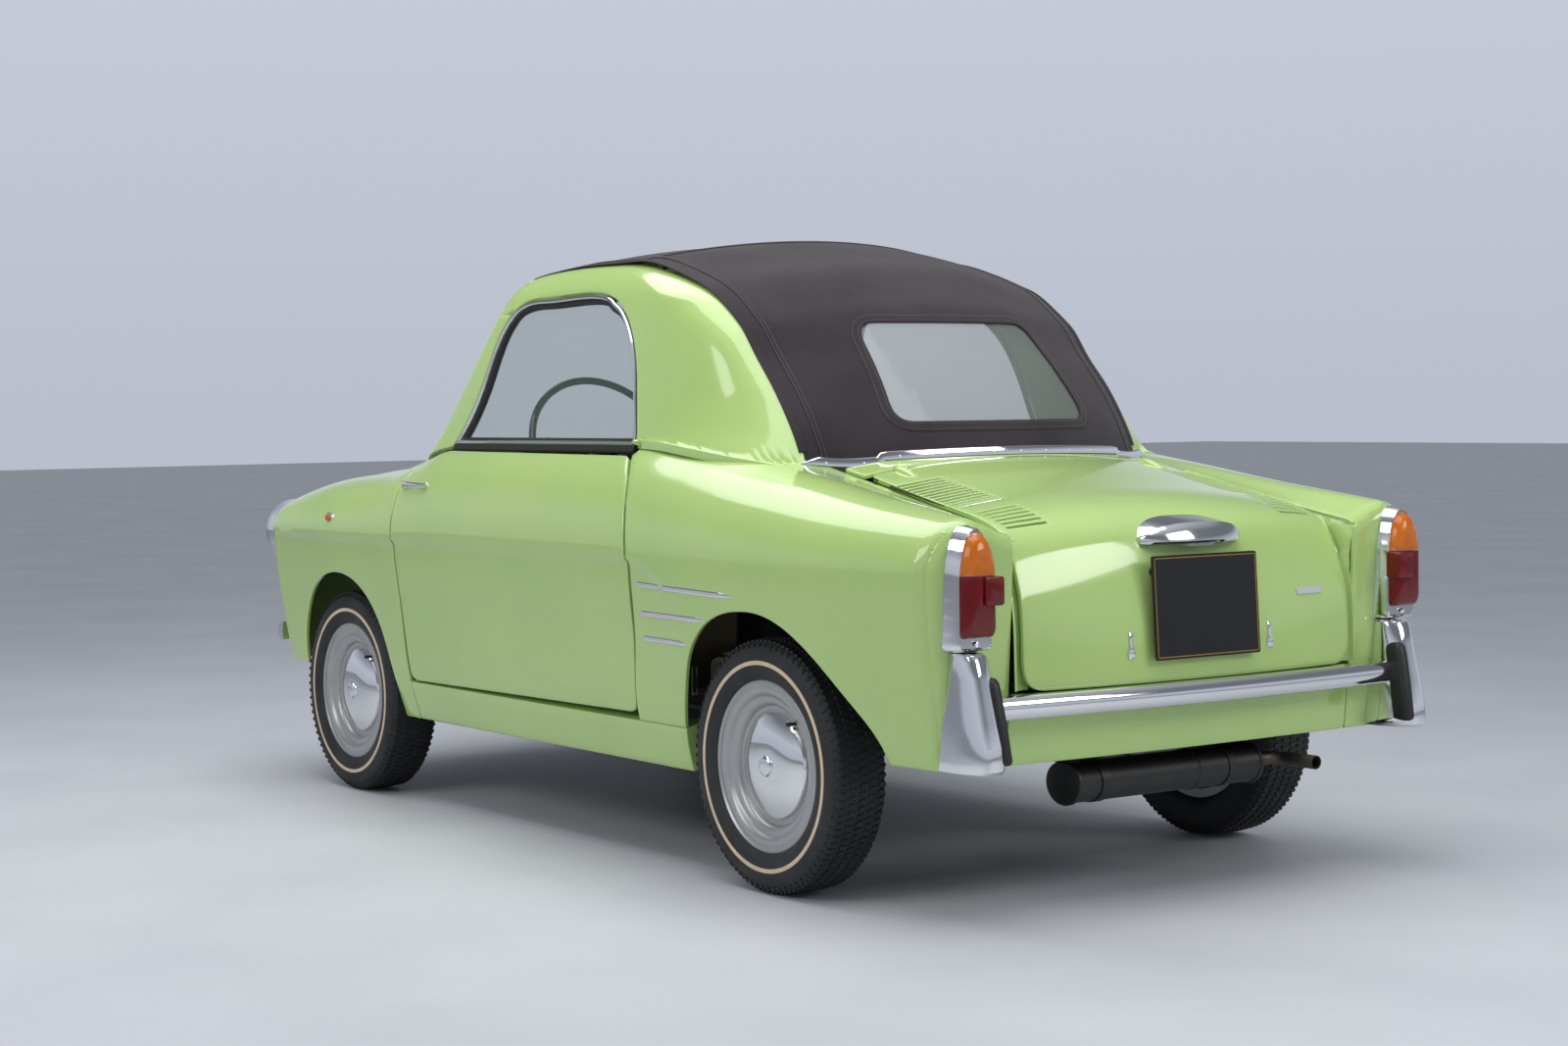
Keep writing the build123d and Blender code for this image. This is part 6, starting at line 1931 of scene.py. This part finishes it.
CUSHION = [(-240, 368), (-240, 428), (100, 398), (118, 378), (100, 366)]
BACKREST = [(128, 398), (192, 788), (254, 788), (256, 770), (186, 408), (160, 366)]
BENCH_CUSHION = [(343, 340), (343, 420), (528, 420), (540, 340)]
BENCH_BACK = [(548, 345), (548, 430), (583, 750), (622, 750), (612, 480), (560, 345)]
SEAT_SEAMS = range(122, 403, 70)
BENCH_SEAMS = range(-330, 331, 110)
front_cushion = sewn(stuffed(pad_form(CUSHION, 55, 469), 7, 7), SEAT_SEAMS)
front_back = sewn(stuffed(pad_form(BACKREST, 57, 467), 7, 7), SEAT_SEAMS)
bench_cushion = sewn(stuffed(pad_form(BENCH_CUSHION, -422, 422), 8, 6), BENCH_SEAMS)
bench_back = sewn(stuffed(pad_form(BENCH_BACK, -422, 422), 8, 6), BENCH_SEAMS)
for name, part in (("seat_cushion_right", front_cushion), ("seat_cushion_left", mirror_mesh(front_cushion)),
                   ("seat_back_right", front_back), ("seat_back_left", mirror_mesh(front_back)),
                   ("bench_cushion", bench_cushion), ("bench_back", bench_back)):
    replaces = ["rear_bench" if "bench" in name else "front_seats"]
    pad = piece(name, part, seat_cloth, "car_body", "seat_cloth", replaces, angle=None)
    if "seat_cushion" in name:
        rounder = pad.modifiers.new("rounder", "SUBSURF")
        rounder.levels = rounder.render_levels = 1
cords = [piping(part, y) for part, sides in ((front_cushion, (72, 452)), (front_back, (74, 450)))
    for y in sides]
cords += [mirror_mesh(c) for c in cords]
cords += [piping(part, y) for part in (bench_cushion, bench_back) for y in (-402, 402)]
piece("seat_piping", join_meshes(*cords), seal_rubber, "car_body", "seat_cloth")
RUNNER_LINE = [(-195, 360), (-196, 300), (-185, 244), (-150, 237), (0, 237), (60, 237), (94, 246), (98, 300),
    (92, 360)]
tubes = []
for side in (-1, 1):
    for at in (-170, 170):
        y = side * 262 + at
        path = smooth_line([(x, y, z) for x, z in RUNNER_LINE], 90)
        tubes.append(sweep(spaced(path, 8), (0, 1, 0), circle_profile(8.5, 14)))
piece("seat_runners", join_meshes(*tubes), chrome, "car_body", "chrome", angle=60)

# -------- dashboard, instruments and steering wheel
dash_line = rounded([(-640, 700), (-562, 692), (-536, 718), (-538, 800), (-582, 820), (-652, 808)], 14, 6)
dash_rings = []
for t in np.concatenate([[-1, -0.992], np.linspace(-0.98, 0.98, 41), [0.992, 1]]):
    share = 0.9 if abs(t) == 1 else 0.97 if abs(t) > 0.985 else 1
    dash_rings.append([(-590 + (x + 590) * share + 8 * t * t * (-1 if x > -600 else 0), 494 * t,
        756 + (z - 756) * share) for x, z in dash_line])
# length, and share of the full oval
DIAL_HOOD = ((-606, 1), (-560, 1), (-520, 1), (-478, 0.99), (-471, 0.97), (-470, 0.93), (-476, 0.89),
    (-500, 0.86), (-504, 0.4))
dial_hood = stack([[(x, -290 + 78 * share * math.cos(a), 800 + 38.5 * share * math.sin(a))
    for a in whole_turn(48)] for x, share in DIAL_HOOD])
piece("dashboard_panel", stack(dash_rings), inner_enamel, "car_body", "inner_paint", ["dashboard"], angle=50)
piece("instrument_hood", dial_hood, grey_plastic, "car_body", "black_plastic", angle=40)
dials = []
for y, r in ((-290, 28), (-336, 13), (-244, 13)):
    dial = [(0, 0.3), (0, r), (4, r), (5.5, r - 1.5), (4.4, r - 3), (3.2, r - 3.6), (3.2, 0.3)]
    dials.append(facing_back(dial, 40, (-503, y, 800)))
piece("instrument_dials", join_meshes(*dials), black_resin, "car_body", "black_plastic", angle=35)
KNOB = [(-4, 0.3), (-4, 6), (6, 5), (8, 10), (17, 11), (19, 9), (19.6, 0.3)]
knobs = [facing_back(KNOB, 24, (-539, y, 768)) for y in (-60, -10, 40, 90)]
piece("dashboard_knobs", join_meshes(*knobs), black_resin, "car_body", "black_plastic", angle=40)
glove_path = [(-537.5, y, z) for y, z in spaced(rounded(box(180, 722, 440, 794), 10, 5), 8, True)]
glove = sweep(glove_path, (1, 0, 0), [(-2, -1), (2, -1), (2, 2.2), (0, 3.2), (-2, 2.2)], closed=True)
piece("glove_box_bead", glove, chrome, "car_body", "chrome", angle=50)

WHEEL_AT = np.array([-257.0, -290.0, 845.0])
TILT = math.radians(27)
wheel_axis = np.array([math.cos(TILT), 0, math.sin(TILT)])
wheel_up = np.array([-math.sin(TILT), 0, math.cos(TILT)])
across = np.array([0.0, 1.0, 0.0])


def on_column(outline, count):
    """A part turned about the steering column's axis."""
    v, f = lathe((0, 0, 0), 1, outline, count)
    return v[:, 1:2] * wheel_axis + v[:, 0:1] * across + v[:, 2:3] * wheel_up + WHEEL_AT * MM, f


def wheel_place(angle, radius, out=0.0):
    return WHEEL_AT + radius * (math.cos(angle) * across + math.sin(angle) * wheel_up) + wheel_axis * out


grip = sweep([wheel_place(a, 190.5) for a in whole_turn(120)], wheel_axis, circle_profile(8.6, 14), closed=True)
piece("steering_rim", grip, black_resin, "steering_wheel", "black_plastic", ["steering_wheel"], angle=60)
spokes = []
for way in (0.0, math.pi):
    for lean in (-0.055, 0.055):
        path = [wheel_place(way + lean * (1 + 1.2 * (1 - t)), 26 + 160 * t, -4 + 3 * t)
            for t in np.linspace(0, 1, 12)]
        spokes.append(sweep(path, wheel_axis, circle_profile(3.2, 10)))
HUB = [(-10, 0.3), (-10, 26), (-6, 31), (4, 31), (9, 28), (11, 22), (11.6, 18), (14, 16), (15.5, 8), (16, 0.3)]
piece("steering_spokes", join_meshes(*spokes), chrome, "steering_wheel", "chrome", angle=60)
piece("steering_hub", on_column(HUB, 48), black_resin, "steering_wheel", "black_plastic", angle=35)
column = on_column([(-330, 0.3), (-330, 22), (-60, 22), (-58, 23.8), (-16, 23.8), (-12, 21), (-12, 0.3)], 40)
stalks = []
for way, long in ((2.75, 120), (3.3, 105)):
    path = [wheel_place(way, 20 + long * t, -34 + 8 * t * t) for t in np.linspace(0, 1, 10)]
    stalks.append(sweep(path, wheel_axis, circle_profile(3.0, 10)))
piece("steering_column_tube", column, grey_plastic, "car_body", "black_plastic", angle=35)
piece("column_stalks", join_meshes(*stalks), black_resin, "car_body", "black_plastic", angle=60)

# -------- floor mats
mat_line = rounded([(-600, 40), (-560, 478), (-262, 484), (-262, 40)], 24, 5)
mat = stack([[(x, y, z) for x, y in inward(mat_line, cut)] for z, cut in ((228, 0), (231, 0), (232, 1.2))])
piece("floor_mats", both_sides(mat), rubber_mat, "car_body", "black_plastic", angle=30)

# -------- engine and exhaust, seen from below
def engine_ring(z, grow, corner=16):
    """Outline of the engine at a height, grown by an amount."""
    half_long, half_wide = 139 + grow, 189 + grow
    return [(1110 + a, b, z) for a, b in rounded(box(-half_long, -half_wide, half_long, half_wide), corner, 4)]


# five rings for each cooling fin of the cylinder block
FIN = ((0, -14), (7, -14), (7.01, 0), (12, 0), (12.01, -14))
fins = stack([engine_ring(z + high, grow, 12) for z in np.arange(292, 515, 20) for high, grow in FIN])
sump = stack([engine_ring(z, grow) for z, grow in ((252, -30), (256, -16), (268, -10), (292, -10))])
cowl = stack([engine_ring(z, grow) for z, grow in ((520, -4), (524, -2), (542, -2), (548, -14), (549, -30))])
gearbox = facing_back([(782, 0.5), (782, 55), (800, 66), (840, 74), (900, 84), (965, 88), (968, 88),
    (968, 0.5)], 48, (0, 0, 350))
piece("engine_and_gearbox", join_meshes(fins, sump, cowl, gearbox), aluminium, "car_body", "iron",
    ["engine_block"], angle=30)



def silencer_ring(y, grow):
    """Oval section of the silencer at a place across the car, grown by an amount."""
    return [(1322 + (50 + grow) * math.cos(a), y, 232 + (42 + grow) * math.sin(a)) for a in whole_turn(48)]


silencer = stack([silencer_ring(y, grow) for y, grow in ((-249, -6), (-250, -3), (-249, 0), (-243, 0),
    (-241, -3), (-236, -3.6), (0, -3.6), (60, -3.6), (62, -2), (68, -2), (70, -3.6), (216, -3.6), (221, -3),
    (223, 0), (229, 0), (230, -3), (229, -6))])
NECK = [(1322, 226, 233), (1322, 258, 234), (1326, 286, 235), (1342, 304, 235), (1366, 310, 235)]
neck = sweep(spaced(smooth_line(NECK, 40), 6), (0, 0, 1), circle_profile(13.5, 20))
tail_tube = facing_back([(0, 0.3), (0, 13.6), (74, 13.8), (75, 13.2), (74, 12.2), (16, 12), (15, 0.3)], 40,
    (1360, 310, 235))
hangers = [stack([silencer_ring(at, out) for at, out in ((y - 11, -3.6), (y - 11, -1.4), (y + 11, -1.4),
    (y + 11, -3.6))]) for y in (-180, 150)]
feed = sweep([(1229, 0, 243), (1285, 0, 240)], (0, 0, 1), circle_profile(13, 16))
piece("silencer", join_meshes(silencer, *hangers, feed), black_enamel, "car_body", "steel", ["exhaust"],
    angle=30)
piece("tailpipe", join_meshes(neck, tail_tube), exhaust_steel, "car_body", "steel", angle=40)


# CAD nodes that stay as they are, each with its own finish; the luggage tub takes the near black enamel of
# painted shade
for name, material in (("floor_pan", black_enamel), ("luggage_tub", painted_shade_enamel),
        ("front_spring", black_enamel), ("rear_axle", black_enamel), ("knuckle_left", aluminium),
        ("knuckle_right", aluminium)):
    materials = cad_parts[name].data.materials
    materials.clear()
    materials.append(material)

# -------- studio: floor, lights, camera
studio_floor = new_piece("studio_floor", [(-40, -40, 0), (40, -40, 0), (40, 40, 0), (-40, 40, 0)],
    [(0, 1, 2, 3)], [shader("matt_studio_floor_paint", "C4C6CB", 0.55, {}, ("noise", 90.0, 0.1, 0.1),
    ("B1B4BB", 1.5, 0.5))])
world = bpy.data.worlds.new("studio_walls")
bpy.context.scene.world = world
world.use_nodes = True
walls = world.node_tree
sky_place = node(walls, "ShaderNodeTexCoord")
sky_split = node(walls, "ShaderNodeSeparateXYZ", None, {"Vector": (sky_place, "Generated")})
sky_ramp = node(walls, "ShaderNodeValToRGB", None, {"Fac": (sky_split, "Z")})
sky_ramp.color_ramp.elements[0].position, sky_ramp.color_ramp.elements[0].color = 0.0, linear("B9BFCC")
sky_ramp.color_ramp.elements[1].position, sky_ramp.color_ramp.elements[1].color = 1.0, linear("D5D9E0")
for at, colour in ((0.16, "C6CBD8"), (0.24, "A8ADB8"), (0.34, "74787F"), (0.55, "74787F"), (0.75, "B4B8BF")):
    stop = sky_ramp.color_ramp.elements.new(at)
    stop.color = linear(colour)
walls.links.new(sky_ramp.outputs["Color"], walls.nodes["Background"].inputs["Color"])
walls.nodes["Background"].inputs["Strength"].default_value = 1.0


def softbox(name, place, aim, size, watts, colour="FFFFFF"):
    """A rectangular diffused light."""
    data = bpy.data.lights.new(name, "AREA")
    data.shape, data.size, data.size_y, data.energy = "RECTANGLE", size[0], size[1], watts
    data.color = linear(colour)[:3]
    lamp = bpy.data.objects.new(name, data)
    bpy.context.scene.collection.objects.link(lamp)
    lamp.location = place
    lamp.rotation_euler = (Vector(aim) - Vector(place)).to_track_quat("-Z", "Y").to_euler()


softbox("overhead_softbox", (0.2, -0.6, 3.6), (0.2, 0.0, 0.5), (6.0, 2.6), 120)
softbox("rear_softbox", (5.2, 1.6, 3.0), (1.2, 0.0, 0.5), (2.6, 1.6), 75)
softbox("side_softbox", (0.6, -5.2, 3.2), (0.0, 0.0, 0.6), (4.5, 1.6), 75)

yaw, pitch, roll = math.radians(145.0741), math.radians(-2.5289), math.radians(-0.6976)
forward = Vector((math.cos(pitch) * math.cos(yaw), math.cos(pitch) * math.sin(yaw), math.sin(pitch)))
level_right = forward.cross(Vector((0, 0, 1))).normalized()
level_up = level_right.cross(forward)
right = math.cos(roll) * level_right + math.sin(roll) * level_up
upward = -math.sin(roll) * level_right + math.cos(roll) * level_up
camera_data = bpy.data.cameras.new("camera")
camera = bpy.data.objects.new("camera", camera_data)
bpy.context.scene.collection.objects.link(camera)
camera.matrix_world = Matrix(((right.x, upward.x, -forward.x, 5.10919),
    (right.y, upward.y, -forward.y, -3.52832), (right.z, upward.z, -forward.z, 0.95013), (0, 0, 0, 1)))
camera_data.sensor_width = 36
camera_data.lens = 2711.74 / 1600 * 36
bpy.context.scene.camera = camera
bpy.context.scene.view_settings.view_transform = "Standard"
